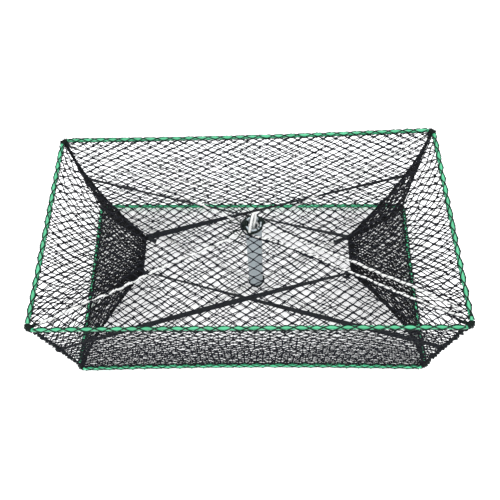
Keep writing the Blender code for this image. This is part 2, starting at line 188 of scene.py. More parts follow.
def cord_material(name, dark, light, plies, lay, rough,
                  sheen=0.02, fibre_scale=900.0, depth=0.0003, gloss=0.10):
    """Laid cord, with a ridge along each ply."""
    shader = Shader(name)
    length, turn = shader.lay_coords()
    run = shader.maths("MULTIPLY", length, TURN * plies / lay)
    phase = shader.maths("ADD", run, shader.maths("MULTIPLY", turn, TURN * plies))
    sine = shader.maths("SINE", shader.maths("MULTIPLY", phase, 0.5))
    wave = shader.maths("ABSOLUTE", sine)
    fibres = shader.noise(fibre_scale, detail=4.0, rough=0.6)
    broad = shader.noise(45.0, detail=2.0, rough=0.5)
    mix = shader.weighted((wave, 0.45), (fibres, 0.30), (broad, 0.35))
    shader.surface({
        "Base Color": shader.ramp(mix, (0.18, dark), (0.85, light)),
        "Roughness": shader.span(fibres, rough - 0.12, rough + 0.15),
        "Specular IOR Level": gloss,
        "Sheen Weight": sheen,
        "Sheen Roughness": 0.5,
    })
    height = shader.maths("ADD", wave, shader.maths("MULTIPLY", fibres, 0.5))
    shader.bump(height, strength=0.9, distance=depth)
    return shader.mat


def coated_rod(name, lift=1.0):
    """Green coating, rubbed and dusty in patches. lift brightens its greens: painted light for a
    frame kept in shade.
    """
    shader = Shader(name)
    broad = shader.noise(28.0)
    fine = shader.noise(420.0, detail=4.0, rough=0.6)
    greens = (
        (0.28, (0.014, 0.225, 0.092)), (0.52, (0.032, 0.345, 0.160)), (0.78, (0.060, 0.450, 0.225)),
    )
    stops = [(position, tuple(lift * part for part in green)) for position, green in greens]
    colour = shader.ramp(shader.weighted((broad, 0.75), (fine, 0.25)), *stops)
    worn = shader.patches(colour, scale=90.0, rough=0.7, edges=(0.62, 0.72), amount=0.35,
                          tint=(0.16, 0.48, 0.30))
    shader.surface({
        "Base Color": worn,
        "Roughness": shader.span(fine, 0.26, 0.48),
        "Coat Weight": 0.25,
        "Coat Roughness": 0.25,
    })
    height = shader.maths("ADD", fine, shader.maths("MULTIPLY", broad, 1.5))
    shader.bump(height, strength=0.35, distance=0.0004)
    return shader.mat


def strap_rubber():
    """Dark woven rubber, with pale scuffs."""
    shader = Shader("strap_rubber_mat")
    length, turn = shader.lay_coords()
    # cross ribs, with a few cords running along the band
    ribs = shader.maths("SINE", shader.maths("MULTIPLY", length, TURN / 0.0020))
    cords = shader.maths("SINE", shader.maths("MULTIPLY", turn, TURN * 12))
    weave = shader.weighted((ribs, 0.5), (cords, 0.8))
    fine = shader.noise(800.0, detail=4.0, rough=0.6)
    broad = shader.noise(40.0, detail=3.0, rough=0.6)
    mix = shader.weighted((broad, 0.6), (fine, 0.25), (weave, 0.10))
    colour = shader.ramp(mix, (0.22, (0.0040, 0.0048, 0.0060)), (0.72, (0.026, 0.031, 0.035)))
    scuffed = shader.patches(colour, scale=260.0, rough=0.75, edges=(0.60, 0.74), amount=0.30,
                             tint=(0.045, 0.048, 0.050))
    shader.surface({
        "Base Color": scuffed,
        "Specular IOR Level": 0.16,
        "Roughness": shader.span(fine, 0.48, 0.72),
    })
    shader.bump(shader.maths("ADD", weave, fine), strength=0.9, distance=0.00035)
    return shader.mat


def pipe_plastic():
    """Grey plastic with fine streaks along the pipe."""
    shader = Shader("post_pipe_mat")
    coords = shader.node("ShaderNodeTexCoord").outputs["Object"]
    stretch = shader.node("ShaderNodeMapping", {"Vector": coords, "Scale": (1.0, 1.0, 0.06)})
    drawn = shader.noise(700.0, detail=3.0, rough=0.6, coords=stretch.outputs["Vector"])
    broad = shader.noise(35.0, detail=4.0, rough=0.6)
    mix = shader.weighted((broad, 0.7), (drawn, 0.3))
    shader.surface({
        "Base Color": shader.ramp(mix, (0.30, (0.270, 0.318, 0.345)), (0.72, (0.410, 0.465, 0.490))),
        "Roughness": shader.span(drawn, 0.34, 0.56),
    })
    shader.bump(shader.maths("ADD", drawn, broad), strength=0.25, distance=0.0002)
    return shader.mat


# each finish is a material and its slot
NET = cord_material(
    "net_twine_mat", dark=(0.0012, 0.0014, 0.0022), light=(0.011, 0.013, 0.020),
    plies=3, lay=0.0042, rough=0.66), "net_twine"
FUNNEL_NET = cord_material(
    "funnel_twine_mat", dark=(0.0008, 0.0009, 0.0012), light=(0.008, 0.009, 0.011),
    plies=3, lay=0.0042, rough=0.70), "net_twine"
TWINE = cord_material(
    "lashing_twine_mat", dark=(0.0012, 0.0030, 0.0022), light=(0.010, 0.018, 0.015),
    plies=3, lay=0.0050, rough=0.58), "lashing_twine"
ROPE = cord_material(
    "white_rope_mat", dark=(0.42, 0.42, 0.40), light=(0.84, 0.85, 0.84), plies=9, lay=0.0150,
    rough=0.75, sheen=0.20, fibre_scale=1400.0, depth=0.00025, gloss=0.3), "white_rope"
COATING = coated_rod("green_coating_mat"), "coated_rod"
RUBBER = strap_rubber(), "strap_rubber"
PIPE = pipe_plastic(), "post_pipe"
# a lighter copy of the coating for the bottom frame: painted light, making up for the shade the nets
# cast on it
PAINTED_LIGHT_COATING = coated_rod("green_coating_painted_light_mat", lift=1.65), "coated_rod"
FUNNEL_RIM = FUNNEL_NET[0], "lashing_twine"


# ---------------------------------------------------------------- mesh building
def unit(vectors):
    vectors = np.asarray(vectors, float)
    return vectors / np.maximum(np.linalg.norm(vectors, axis=-1, keepdims=True), 1e-12)


def settle(points):
    """Pulls every piece in with the hand-bent rails: one smooth displacement, given by how far
    each rail of each frame stands from straight, along +X or +Y."""
    right = np.clip((points[:, 0] + HX) / (2 * HX), 0, 1)
    back = np.clip((points[:, 1] + HY) / (2 * HY), 0, 1)
    rise = np.clip((points[:, 2] - ZB) / (ZT - ZB), 0, 1)
    mid_x, mid_y = np.sin(pi * right), np.sin(pi * back)
    top = {
        "front": -0.0010,
        "back": -0.0056 * (1 - right) + 0.0034 * right - 0.0042 * mid_x,
        "left": -0.0018 + 0.0024 * back,
        "right": 0.0044 - 0.0065 * back,
    }
    low = {
        "front": 0.0012 + 0.0044 * mid_x,
        "back": 0.0048 * (1 - right) - 0.0030 * right,
        "left": 0.0004 + 0.0022 * mid_y,
        "right": -0.0002 - 0.0026 * mid_y,
    }
    rail = {side: low[side] * (1 - rise) + top[side] * rise for side in top}
    moved = points.copy()
    moved[:, 0] += rail["left"] * (1 - right) + rail["right"] * right
    moved[:, 1] += rail["front"] * (1 - back) + rail["back"] * back
    return moved


class Build:
    """Gathers vertices, faces of any size and their lay coordinates, then makes one mesh."""

    def __init__(self):
        self.verts, self.faces, self.lays, self.total = [], [], [], 0

    def add(self, verts, faces):
        """faces is a list of (vertex indices, lay coordinates) pairs of arrays."""
        verts = np.asarray(verts, float).reshape(-1, 3)
        for corners, lay in faces:
            self.faces.append(np.asarray(corners) + self.total)
            self.lays.append(np.asarray(lay, float))
        self.verts.append(verts)
        self.total += len(verts)

    def piece(self, name, replaced, body, finish, sharp=None):
        """Makes the object. body is the part it rides on, or None; sharp is an angle in degrees."""
        material, slot = finish
        mesh = bpy.data.meshes.new(name)
        verts = settle(np.concatenate(self.verts))
        loops = np.concatenate([f.ravel() for f in self.faces]).astype(np.int32)
        sizes = np.concatenate([np.full(len(f), f.shape[1]) for f in self.faces]).astype(np.int32)
        starts = np.concatenate([[0], np.cumsum(sizes)[:-1]]).astype(np.int32)
        mesh.vertices.add(len(verts))
        mesh.vertices.foreach_set("co", verts.astype(np.float32).ravel())
        mesh.loops.add(len(loops))
        mesh.loops.foreach_set("vertex_index", loops)
        mesh.polygons.add(len(sizes))
        mesh.polygons.foreach_set("loop_start", starts)
        mesh.polygons.foreach_set("loop_total", sizes)
        mesh.update(calc_edges=True)
        lays = np.concatenate([lay.reshape(-1, 2) for lay in self.lays])
        layer = mesh.uv_layers.new(name="lay")
        layer.data.foreach_set("uv", lays.astype(np.float32).ravel())
        mesh.polygons.foreach_set("use_smooth", np.ones(len(sizes), bool))
        if sharp:
            mesh.set_sharp_from_angle(angle=math.radians(sharp))
        mesh.validate()
        mesh.materials.append(material)
        made = bpy.data.objects.new(name, mesh)
        bpy.context.scene.collection.objects.link(made)
        if body:
            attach(made, body)
        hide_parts(replaced)
        return made


def ring_quads(index, closed=False):
    """Quads between neighbouring rings of a (..., rings, sides) grid of vertex indices."""
    here, ahead = index[..., :-1, :], index[..., 1:, :]
    if closed:
        here, ahead = index, np.roll(index, -1, axis=-2)
    beside = [np.roll(ring, -1, axis=-1) for ring in (ahead, here)]
    return np.stack([here, ahead, *beside], -1).reshape(-1, 4)


def quad_lay(length, next_length, share, next_share):
    """Lay coordinates for the corners of ring_quads."""
    grids = np.broadcast_arrays(length, next_length, share, next_share)
    length, next_length, share, next_share = grids
    corners = ((length, share), (next_length, share), (next_length, next_share),
               (length, next_share))
    return np.stack([np.stack(corner, -1) for corner in corners], -2).reshape(-1, 4, 2)


def around(angle, first, second):
    """Unit ways at angles from first towards second."""
    return np.cos(angle)[..., None] * first + np.sin(angle)[..., None] * second


def heading(angle):
    return np.array([math.cos(angle), math.sin(angle), 0.0])


def tubes(build, paths, radii, sides, normals, closed=False):
    """Tubes of one topology along paths (tubes, rings, 3). radii may go down to each ring or each
    vertex. normals set where a ring starts, for each tube or each ring."""
    paths = np.asarray(paths, float)
    number, rings = paths.shape[:2]
    if closed:
        tangents = np.roll(paths, -1, 1) - np.roll(paths, 1, 1)
        steps = np.roll(paths, -1, 1) - paths
    else:
        tangents = np.empty_like(paths)
        tangents[:, 1:-1] = paths[:, 2:] - paths[:, :-2]
        tangents[:, 0], tangents[:, -1] = paths[:, 1] - paths[:, 0], paths[:, -1] - paths[:, -2]
        steps = np.diff(paths, axis=1)
    tangents = unit(tangents)
    normals = np.asarray(normals, float)
    if normals.ndim < 3:
        normals = normals.reshape(-1, 1, 3)
    side = unit(np.cross(tangents, np.broadcast_to(normals, paths.shape)))
    other = np.cross(side, tangents)
    radii = np.asarray(radii, float)
    if radii.ndim < 3:
        radii = np.broadcast_to(radii, (number, rings))[..., None]
    angle = TURN * np.arange(sides) / sides
    ways = around(angle, side[:, :, None], other[:, :, None])
    verts = paths[:, :, None] + radii[..., None] * ways
    lengths = np.cumsum(np.linalg.norm(steps, axis=2), axis=1)
    lengths = np.concatenate([np.zeros((number, 1)), lengths], axis=1)
    share = np.arange(sides) / sides
    index = np.arange(number * rings * sides).reshape(number, rings, sides)
    lay = quad_lay(lengths[:, :-1, None], lengths[:, 1:, None], share, share + 1 / sides)
    faces = [(ring_quads(index, closed), lay)]
    if not closed:
        caps = np.concatenate([index[:, 0], index[:, -1, ::-1]])
        faces.append((caps, np.zeros((len(caps), sides, 2))))
    build.add(verts, faces)


def tube(build, path, radius, sides, normals, closed=False):
    """One tube. normals is one vector, or one for each ring."""
    tubes(build, np.asarray(path)[None], radius, sides, np.asarray(normals)[None], closed)


def wrap(half_x, half_y, twine, segments, sides, turn, lift=0.0):
    """An oval wrap of twine as (vertices, quads, lay), in the plane turned by a matrix."""
    angle = TURN * np.arange(segments) / segments
    section = TURN * np.arange(sides) / sides
    cos_ring, sin_ring = np.cos(angle)[:, None], np.sin(angle)[:, None]
    cos_side, sin_side = np.cos(section)[None], np.sin(section)[None]
    x = half_x * cos_ring + twine * cos_side * cos_ring
    y = half_y * sin_ring + twine * cos_side * sin_ring
    z = twine * sin_side * np.ones_like(cos_ring) + lift * np.sin(2 * angle)[:, None]
    verts = np.stack([x, y, z], -1).reshape(-1, 3) @ np.asarray(turn, float).T
    quads = ring_quads(np.arange(segments * sides).reshape(segments, sides), closed=True)
    size = TURN * (half_x + half_y) / 2
    length = (np.arange(segments) / segments * size)[:, None]
    share = np.arange(sides)[None] / sides
    return verts, quads, quad_lay(length, length + size / segments, share, share + 1 / sides)


def turned(axis, degrees):
    """The matrix of a turn about an axis."""
    angle, axis = math.radians(degrees), unit(axis)
    x, y, z = axis
    cross = np.array([[0, -z, y], [z, 0, -x], [-y, x, 0]])
    cosine = math.cos(angle)
    return np.outer(axis, axis) * (1 - cosine) + cross * math.sin(angle) + cosine * np.eye(3)


def random_turn(local):
    return turned(local.normal(size=3), local.uniform(0, 180))


def random_turns(local, number):
    return np.stack([random_turn(local) for _ in range(number)])


def knot_template(segments, sides, wraps):
    """Several wraps as one template. wraps are (half x, half y, twine radius, lift) in mm and a
    turn."""
    parts = [
        wrap(half_x * MM, half_y * MM, twine * MM, segments, sides, turn, lift * MM)
        for half_x, half_y, twine, lift, turn in wraps
    ]
    verts, quads, lays = zip(*parts)
    quads = [q + k * segments * sides for k, q in enumerate(quads)]
    return np.concatenate(verts), np.concatenate(quads), np.concatenate(lays)


# a net knot: two wraps pulled tight over each other, x along the long diagonal of the mesh
KNOT = knot_template(6, 4, (
    (1.20, 1.00, 0.74, 0.25, turned(Z, 24) @ turned(Y, 62)),
    (1.20, 1.00, 0.74, -0.25, turned(Z, -30) @ turned(Y, 116)),
))
# a heavier hand-tied knot of four wraps
BIG_KNOT = knot_template(12, 7, (
    (1.5, 1.2, 0.85, 0.5, turned(Z, 20) @ turned(Y, 78)),
    (1.6, 1.1, 0.85, -0.5, turned(Z, -48) @ turned(Y, 98)),
    (1.3, 1.3, 0.80, 0.4, turned(X, 24)),
    (1.2, 1.5, 0.80, 0.3, turned(Z, 75) @ turned(Y, 62)),
))


def stamp(build, template, turns, places):
    """A copy of a template at each place, turned and scaled by its matrix."""
    verts, quads, lay = template
    turns = np.asarray(turns, float).reshape(-1, 3, 3)
    places = np.asarray(places, float).reshape(-1, 3)
    number = len(places)
    copies = np.einsum("sij,nj->sni", turns, verts) + places[:, None]
    quads = quads[None] + (np.arange(number) * len(verts))[:, None, None]
    lay = np.broadcast_to(lay, (number, *lay.shape))
    build.add(copies, [(quads.reshape(-1, 4), lay.reshape(-1, 4, 2))])


def frames_from(normals, along):
    """Matrices with z on the normals and x as near as can be to along."""
    normals = unit(normals)
    first = unit(along - normals * np.sum(along * normals, -1, keepdims=True))
    return np.stack([first, np.cross(normals, first), normals], -1)


def spin_matrices(number, spread):
    """Small random turns about z with a flip now and then, so that no two knots match."""
    angle = rng.uniform(-spread, spread, number) + pi * rng.integers(0, 2, number)
    cos, sin, zero = np.cos(angle), np.sin(angle), np.zeros(number)
    flip = np.where(rng.random(number) < 0.5, 1.0, -1.0)
    rows = ((cos, -sin * flip, zero), (sin, cos * flip, zero), (zero, zero, flip))
    return np.stack([np.stack(row, -1) for row in rows], 1)


def peak(angle, period, width):
    """1 at every period, falling away on both sides."""
    return np.exp(-(((np.mod(angle + period / 2, period) - period / 2) / width) ** 2))


def resample(path, step):
    """Even distances along a path, and the points there."""
    path = np.asarray(path, float)
    length = np.linalg.norm(np.diff(path, axis=0), axis=1)
    length = np.concatenate([[0], np.cumsum(length)])
    even = np.linspace(0, length[-1], max(int(length[-1] / step), 8))
    return even, np.stack([np.interp(even, length, path[:, k]) for k in range(3)], -1)


def net(build, surface, columns, rows, seed, twine=0.00080, knot=1.22, wander=0.0008,
        drift=0.0025, sag=0.0004, sides=5, keep=None, cut=None, edge_knots=False):
    """Knotted diamond netting over surface(along, across): knots on every other crossing of a
    grid, joined by twine. keep(start, end) clips a run of twine to the part that stays, or drops
    it. cut(along, across) is the share of the way across the panel, and the net is cut off where
    it leaves 0 to 1."""
    local = np.random.default_rng(seed)
    i, j = np.meshgrid(np.arange(columns + 1), np.arange(rows + 1), indexing="ij")
    along, across = i / columns, j / rows
    # a slow drift of the whole sheet, none at its edges
    fade = np.sin(pi * along) ** 0.5 * np.sin(pi * across) ** 0.5
    phase = local.uniform(0, TURN, 8)
    sway_along = (
        np.sin(2.3 * pi * across + phase[0]) * np.sin(1.7 * pi * along + phase[1])
        + 0.6 * np.sin(5.1 * pi * across + 3.1 * along + phase[2]))[..., None]
    sway_across = (
        np.sin(2.9 * pi * along + phase[3]) * np.sin(1.9 * pi * across + phase[4])
        + 0.6 * np.sin(6.3 * pi * along + 2.2 * across + phase[5]))[..., None]
    points = surface(along, across)
    nudge = 1e-3
    slope_along = surface(along + nudge, across) - surface(along - nudge, across)
    slope_across = surface(along, across + nudge) - surface(along, across - nudge)
    normals = unit(np.cross(slope_along, slope_across))
    step = np.minimum(np.linalg.norm(slope_along, axis=-1) / (2 * nudge * columns),
                      np.linalg.norm(slope_across, axis=-1) / (2 * nudge * rows))
    way_along, way_across = unit(slope_along), unit(slope_across)
    small = np.minimum(1.0, step / 0.006)[..., None]
    swayed = drift * (sway_along * way_along + 0.6 * sway_across * way_across)
    points = points + fade[..., None] * small * swayed
    # a small wander of each inner knot, in the sheet and out of it
    inner = (i > 0) & (i < columns) & (j > 0) & (j < rows)
    in_sheet = local.normal(0, wander, points.shape) * (np.abs(way_along) + np.abs(way_across))
    out_of_sheet = normals * local.normal(0, wander * 0.7, (*i.shape, 1))
    points = points + inner[..., None] * small * (in_sheet + out_of_sheet)

    # one diagonal run of twine in each cell, leaning alternately
    col, row = np.meshgrid(np.arange(columns), np.arange(rows), indexing="ij")
    col, row = col.ravel(), row.ravel()
    lean = (col + row) % 2
    first, last = (col + lean, row), (col + 1 - lean, row + 1)
    starts, ends, run_normals = points[first], points[last], normals[first]
    if cut is not None:
        share = cut(along, across)
        share_start, share_end = share[first], share[last]
        change = share_end - share_start
        change = np.where(np.abs(change) < 1e-9, 1e-9, change)
        crossings = np.stack([-share_start / change, (1 - share_start) / change])
        enter, leave = np.clip(np.sort(crossings, axis=0), 0, 1)
        left = leave - enter > 0.06
        run = ends - starts
        starts, ends = (starts + run * enter[:, None])[left], (starts + run * leave[:, None])[left]
        run_normals = run_normals[left]
    if keep is not None:
        clipped = [keep(start, end) for start, end in zip(starts, ends)]
        run_normals = run_normals[np.array([run is not None for run in clipped])]
        starts = np.array([run[0] for run in clipped if run])
        ends = np.array([run[1] for run in clipped if run])
    sideways = unit(np.cross(ends - starts, run_normals))
    middle = (starts + ends) / 2 + run_normals * local.normal(0, sag, (len(starts), 1))
    middle = middle + sideways * local.normal(0, sag, (len(starts), 1))
    tubes(build, np.stack([starts, middle, ends], 1), twine, sides, run_normals)

    knotted = (i + j) % 2 == 0
    if not edge_knots:
        knotted = knotted & inner
    if cut is not None:
        knotted = knotted & (share > -1e-6) & (share < 1 + 1e-6)
    spots, spot_normals, ways = points[knotted], normals[knotted], way_along[knotted]
    scale = knot * np.clip(step[knotted] / 0.0055, 0.62, 1.0)
    scale = scale * local.uniform(0.92, 1.12, len(spots))
    if keep is not None:
        left = np.array([keep(spot, spot + 1e-5 * X) is not None for spot in spots])
        spots, spot_normals, ways, scale = spots[left], spot_normals[left], ways[left], scale[left]
    turns = frames_from(spot_normals, ways) @ spin_matrices(len(spots), 0.35)
    stamp(build, KNOT, turns * scale[:, None, None], spots)


def folds(made):
    """Gives the soft piece its own copy of its mesh."""
    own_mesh(made)


def stretches(made):
    """Bakes the piece's placing into its mesh."""
    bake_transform(made)


# ---------------------------------------------------------------- frames
BEND_X, BEND_Y = HX - BEND, HY - BEND           # centres of the corner bends


def bend_points(k, angle, z):
    """Points on the k-th bend, counted from the back right corner by way of the back left."""
    sign_x, sign_y = ((1, 1), (-1, 1), (-1, -1), (1, -1))[k % 4]
    x, y = sign_x * BEND_X + BEND * np.cos(angle), sign_y * BEND_Y + BEND * np.sin(angle)
    return np.stack([x, y, np.full(np.shape(angle), z)], -1)


def rail_path(z):
    """The closed centre line of a frame. Hand-bent rod is never dead straight."""
    parts = []
    for k in range(4):
        arc = bend_points(k, k * pi / 2 + np.linspace(0, pi / 2, 13), z)
        ahead = bend_points(k + 1, (k + 1) * pi / 2, z)
        far = np.linalg.norm(ahead - arc[-1])
        share = np.linspace(0, 1, int(far / 0.012) + 1)[1:-1, None]
        bow = np.sin(pi * share) * 0.0007 * math.sin(1.3 * k + z * 9)
        bow = bow + 0.00018 * np.sin(share * far / 0.05 + k)
        run = arc[-1] * (1 - share) + ahead * share + unit(heading((k + 1) * pi / 2)) * bow
        parts += [arc, run]
    return np.concatenate(parts)


def swell(number, seed):
    """Smoothed random factors near 1 for the rod's radius."""
    wave = np.random.default_rng(seed).normal(0, 1, number)
    for _ in range(3):
        wave = (np.roll(wave, 1) + wave + np.roll(wave, -1)) / 3
    return 1 + 0.02 * wave


# the bottom frame takes the lighter coating, painted light against the nets' shade
for (level, z, body), radius, finish, swell_seed in zip(
        LEVELS, (ROD + 0.0004, ROD), (PAINTED_LIGHT_COATING, COATING), (3, 5)):
    build = Build()
    path = rail_path(z)
    tube(build, path, radius * swell(len(path), swell_seed), 22, Z, closed=True)
    build.piece(f"{level}_frame_coated_rod", f"{level}_frame", body, finish)

seeds = count(21)       # for the rail lashings, corner bindings and upright cords in turn


# ---------------------------------------------------------------- lashings round the rails
# twine radius and how many twines wind each way, where it isn't the usual
USUAL_WINDING = (0.00080, 2)
WINDING = {
    ("bottom", "front"): (0.00078, 3),
    ("bottom", "back"): (0.00052, 1),
    ("bottom", "left"): (0.00080, 3),
    ("bottom", "right"): (0.00080, 3),
}


def lashing(level, z, body, side, centre, along, half, seed):
    """Twines wound opposite ways along a rail, with knots along its inner side."""
    twine, starts = WINDING.get((level, side), USUAL_WINDING)
    local = np.random.default_rng(seed)
    centre, length = np.array([*centre, z]), 2 * (half - 0.0105)
    sideways = np.cross(Z, along)
    pitch = length / round(length / 0.0208)
    run = np.linspace(-length / 2, length / 2, int(length / pitch * 11) + 1)
    crossing = peak(TURN * run / pitch, pi, 0.45)
    waves = int(length / 0.030)
    stand = 0.00055 if level == "top" else 0.00090
    build = Build()
    for hand in (1, -1):
        # one hand is lifted over the other where they cross
        radius = ROD + stand + (0.00120 if hand < 0 else 0.0) * crossing
        for k in range(starts):
            wobble = local.normal(0, 0.20, waves)
            wobble = np.interp(run, np.linspace(-length / 2, length / 2, waves), wobble)
            angle = pi / 2 + TURN * k / starts + hand * (TURN * run / (pitch * starts)) + wobble
            radial = around(angle, sideways, Z)
            path = centre + run[:, None] * along + radius[:, None] * radial
            tube(build, path, twine, 7, radial)
    # where the net's edge meshes are hitched on
    hitches = np.arange(-length / 2 + pitch / 2, length / 2, pitch)
    inward = -np.sign(np.dot(centre, sideways)) * sideways
    spots = centre + hitches[:, None] * along + inward * (ROD + 0.0002)
    spots = spots + Z * (-0.0012 if level == "top" else 0.0012)
    spots = spots + local.normal(0, 0.0006, spots.shape)
    turns = np.stack([along, inward, np.cross(along, inward)], -1) @ spin_matrices(len(spots), 0.5)
    stamp(build, KNOT, turns * (0.78 if starts > 1 else 0.55), spots)
    build.piece(f"{level}_{side}_rail_lashing", f"{level}_{side}_lashing", body, TWINE)


for level, z, body in LEVELS:
    for side, centre, along, half in (
        ("front", (0, -HY), X, HX),
        ("back", (0, HY), X, HX),
        ("left", (-HX, 0), Y, HY),
        ("right", (HX, 0), Y, HY),
    ):
        lashing(level, z, body, side, centre, along, half, next(seeds))


# ---------------------------------------------------------------- corner bindings
def corner_binding(level, z, body, corner, seed):
    """Close turns of twine round a bend, a looser layer over them, knots and two cut ends."""
    sign_x, sign_y = CORNERS[corner]
    local = np.random.default_rng(seed)
    build = Build()
    hub = np.array([sign_x * BEND_X, sign_y * BEND_Y, z])
    # a coil that follows the rod: down one arm, round the bend and up the other
    arm, arc = 0.0010, BEND * pi / 2
    total = 2 * arm + arc
    turns = 12
    steps = turns * 14
    run = np.linspace(0, total, steps + 1)
    bend = np.clip((run - arm) / BEND, 0, pi / 2)
    outward = around(bend, sign_x * X, sign_y * Y)
    before, after = np.maximum(arm - run, 0), np.maximum(run - arm - arc, 0)
    centre = hub + BEND * outward
    centre = centre - sign_y * Y * before[:, None] - sign_x * X * after[:, None]
    wobble = np.interp(run, np.linspace(0, total, 30), local.normal(0, 0.0003, 30))
    radius = (ROD + 0.0007 + np.abs(wobble))[:, None]
    radial = around(TURN * turns * run / total, outward, Z)
    used = slice(int(steps * 0.16), int(steps * 0.84))
    tube(build, (centre + radius * radial)[used], 0.00078, 7, radial[used])
    # a looser second layer, wound back over the first across the bend
    radial = around(-TURN * 6 * run / total + 1.1, outward, Z)
    used = slice(int(steps * 0.32), int(steps * 0.68))
    tube(build, (centre + (radius + 0.00130) * radial)[used], 0.00075, 7, radial[used])
    # two knots inside the frame and one outside
    inner = hub + np.array([sign_x * 0.0020, sign_y * 0.0020, 0])
    up = -1 if z > ZM else 1
    spots = np.stack([
        inner + Z * up * 0.0022,
        inner + np.array([-sign_x * 0.0028, sign_y * 0.0012, -up * 0.0012]),
        hub + np.array([sign_x * (BEND + 0.0012), sign_y * 0.004, -up * 0.0042]),
    ])
    heavy = corner == "front_right"
    sizes = np.array([0.95, 0.80, 0.75]) * (1.25 if heavy else 1.0)
    stamp(build, BIG_KNOT, random_turns(local, 3) * sizes[:, None, None], spots)
    if heavy:
        extra = hub + np.array([
            [sign_x * BEND, 0.0060, 0.0014],
            [sign_x * (BEND + 0.0006), 0.0015, -0.0020],
            [sign_x * (BEND + 0.0002), 0.0100, 0.0012],
        ])
        stamp(build, BIG_KNOT, random_turns(local, 3) * 1.15, extra)
    # the cut ends
    for k in range(2):
        way = unit(np.array([
            -sign_x * local.uniform(0.2, 1),
            -sign_y * local.uniform(0.2, 1),
            up * local.uniform(0.2, 0.6),
        ]))
        share = np.linspace(0, 1, 6)[:, None]
        curl = np.cross(way, Z) * 0.0022 * (share**2) * (1 if k else -1)
        path = spots[k] + way * share * local.uniform(0.007, 0.011) + curl
        tube(build, path, 0.00082, 6, np.cross(way, X))
    build.piece(f"{level}_{corner}_corner_binding", f"{level}_{corner}_wrap", body, TWINE)


for level, z, body in LEVELS:
    for corner in CORNERS:
        corner_binding(level, z, body, corner, next(seeds))


# ---------------------------------------------------------------- upright cords at the corners
# size of the hitches and how far they stand out
USUAL_HITCHES = (1.30, 0.0)
HITCHES = {"front_right": (2.20, 0.0014), "front_left": (1.60, 0.0008)}


def upright_cord(corner, seed):
    """A three-ply cord between the frames, with a hitch at each mesh of the wall netting."""
    sign_x, sign_y = CORNERS[corner]
    local = np.random.default_rng(seed)
    build = Build()
    low, high = ZB + 0.0030, ZT - 0.0030
    share = np.linspace(0, 1, 150)
    z = low + (high - low) * share
    # the cord is drawn in a little between the frames
    pull = 0.0016 * np.sin(pi * share)
    x = sign_x * (HX - INSET - pull) + 0.0004 * np.sin(share * 21 + seed)
    y = sign_y * (HY - INSET - pull) + 0.0004 * np.sin(share * 17 + seed * 2)
    for k in range(3):
        radial = around(TURN * (z / 0.017) + k * TURN / 3, X, Y)
        tube(build, np.stack([x, y, z], -1) + 0.00115 * radial, 0.00102, 6, radial)
    heights = np.arange(low + 0.008, high - 0.006, 0.0142)
    heights = heights + local.normal(0, 0.0008, len(heights))
    spots = np.stack([np.interp(heights, z, x), np.interp(heights, z, y), heights], -1)
    spots = spots + local.normal(0, 0.0004, spots.shape)
    size, stand = HITCHES.get(corner, USUAL_HITCHES)
    spots = spots + np.array([sign_x * stand, sign_y * stand, 0.0])
    turns = [
        turned(Z, local.uniform(0, 360)) @ turned(X, 90 + local.uniform(-25, 25))
        * local.uniform(0.60, 1.30)
        for _ in spots
    ]
    stamp(build, KNOT, np.stack(turns) * size, spots)
    stretches(build.piece(f"{corner}_upright_cord", f"{corner}_corner_cord", None, TWINE))


for corner in CORNERS:
    upright_cord(corner, next(seeds))


# ---------------------------------------------------------------- flat nets
EDGE_IN = 0.0020                # from a rail's centre to the edge of a flat net
SHEET_X, SHEET_Y = 2 * HX - 2 * EDGE_IN, 2 * HY - 2 * EDGE_IN
COLUMNS, ROWS, WALL_ROWS = 58, 42, 32
SLIT_LOOP = 0.0152              # radius of the slit rope's loop round the post
SLIT_END = 0.318                # how far the slit rope runs from the post's axis
SLIT_TAPER = 0.27               # where its two runs start to close


def level_surface(z, hang, pull=0.0):
    """A flat sheet that hangs in its middle and is pulled in round the post."""

    def surface(along, across):
        x = -HX + EDGE_IN + SHEET_X * along
        y = -HY + EDGE_IN + SHEET_Y * across
        from_x, from_y = x - POST[0], y - POST[1]
        far = np.maximum(np.hypot(from_x, from_y), 1e-6)
        draw = pull * np.exp(-(((far - 0.022) / 0.034) ** 2))
        fall = hang * np.sin(pi * np.clip(along, 0, 1)) * np.sin(pi * np.clip(across, 0, 1))
        return np.stack([x - from_x / far * draw, y - from_y / far * draw, z - fall + 0 * x], -1)

    return surface


def half_gap(run):
    """Half the opening between the slit rope's two runs, at a distance from the post's axis."""
    share = np.clip(run / 0.060, 0.0, 1.0)
    return SLIT_LOOP + (0.0085 - SLIT_LOOP) * (share * share * (3 - 2 * share))


def in_slit(point):
    offset = np.asarray(point) - POST
    run, aside = offset @ ALONG, offset @ ACROSS
    if math.hypot(offset[0], offset[1]) < SLIT_LOOP:
        return True
    return 0 < run < 0.300 and abs(aside) < half_gap(run)


slit_ends = []                  # where twines of the top net are cut off at the slit


def clip_to_slit(start, end):
    """The part of a run of twine outside the slit, or None. Notes where it is cut."""
    start_in, end_in = in_slit(start), in_slit(end)
    if not start_in and not end_in:
        if any(in_slit(start + (end - start) * share) for share in (0.25, 0.5, 0.75)):
            return None
        return start, end
    if start_in and end_in:
        return None
    inside, outside = (start, end) if start_in else (end, start)
    low, high = 0.0, 1.0
    for _ in range(10):
        middle = (low + high) / 2
        if in_slit(outside + (inside - outside) * middle):
            high = middle
        else:
            low = middle
    if low < 0.08:
        return None
    edge = outside + (inside - outside) * low
    slit_ends.append(edge)
    return (edge, end) if start_in else (start, edge)


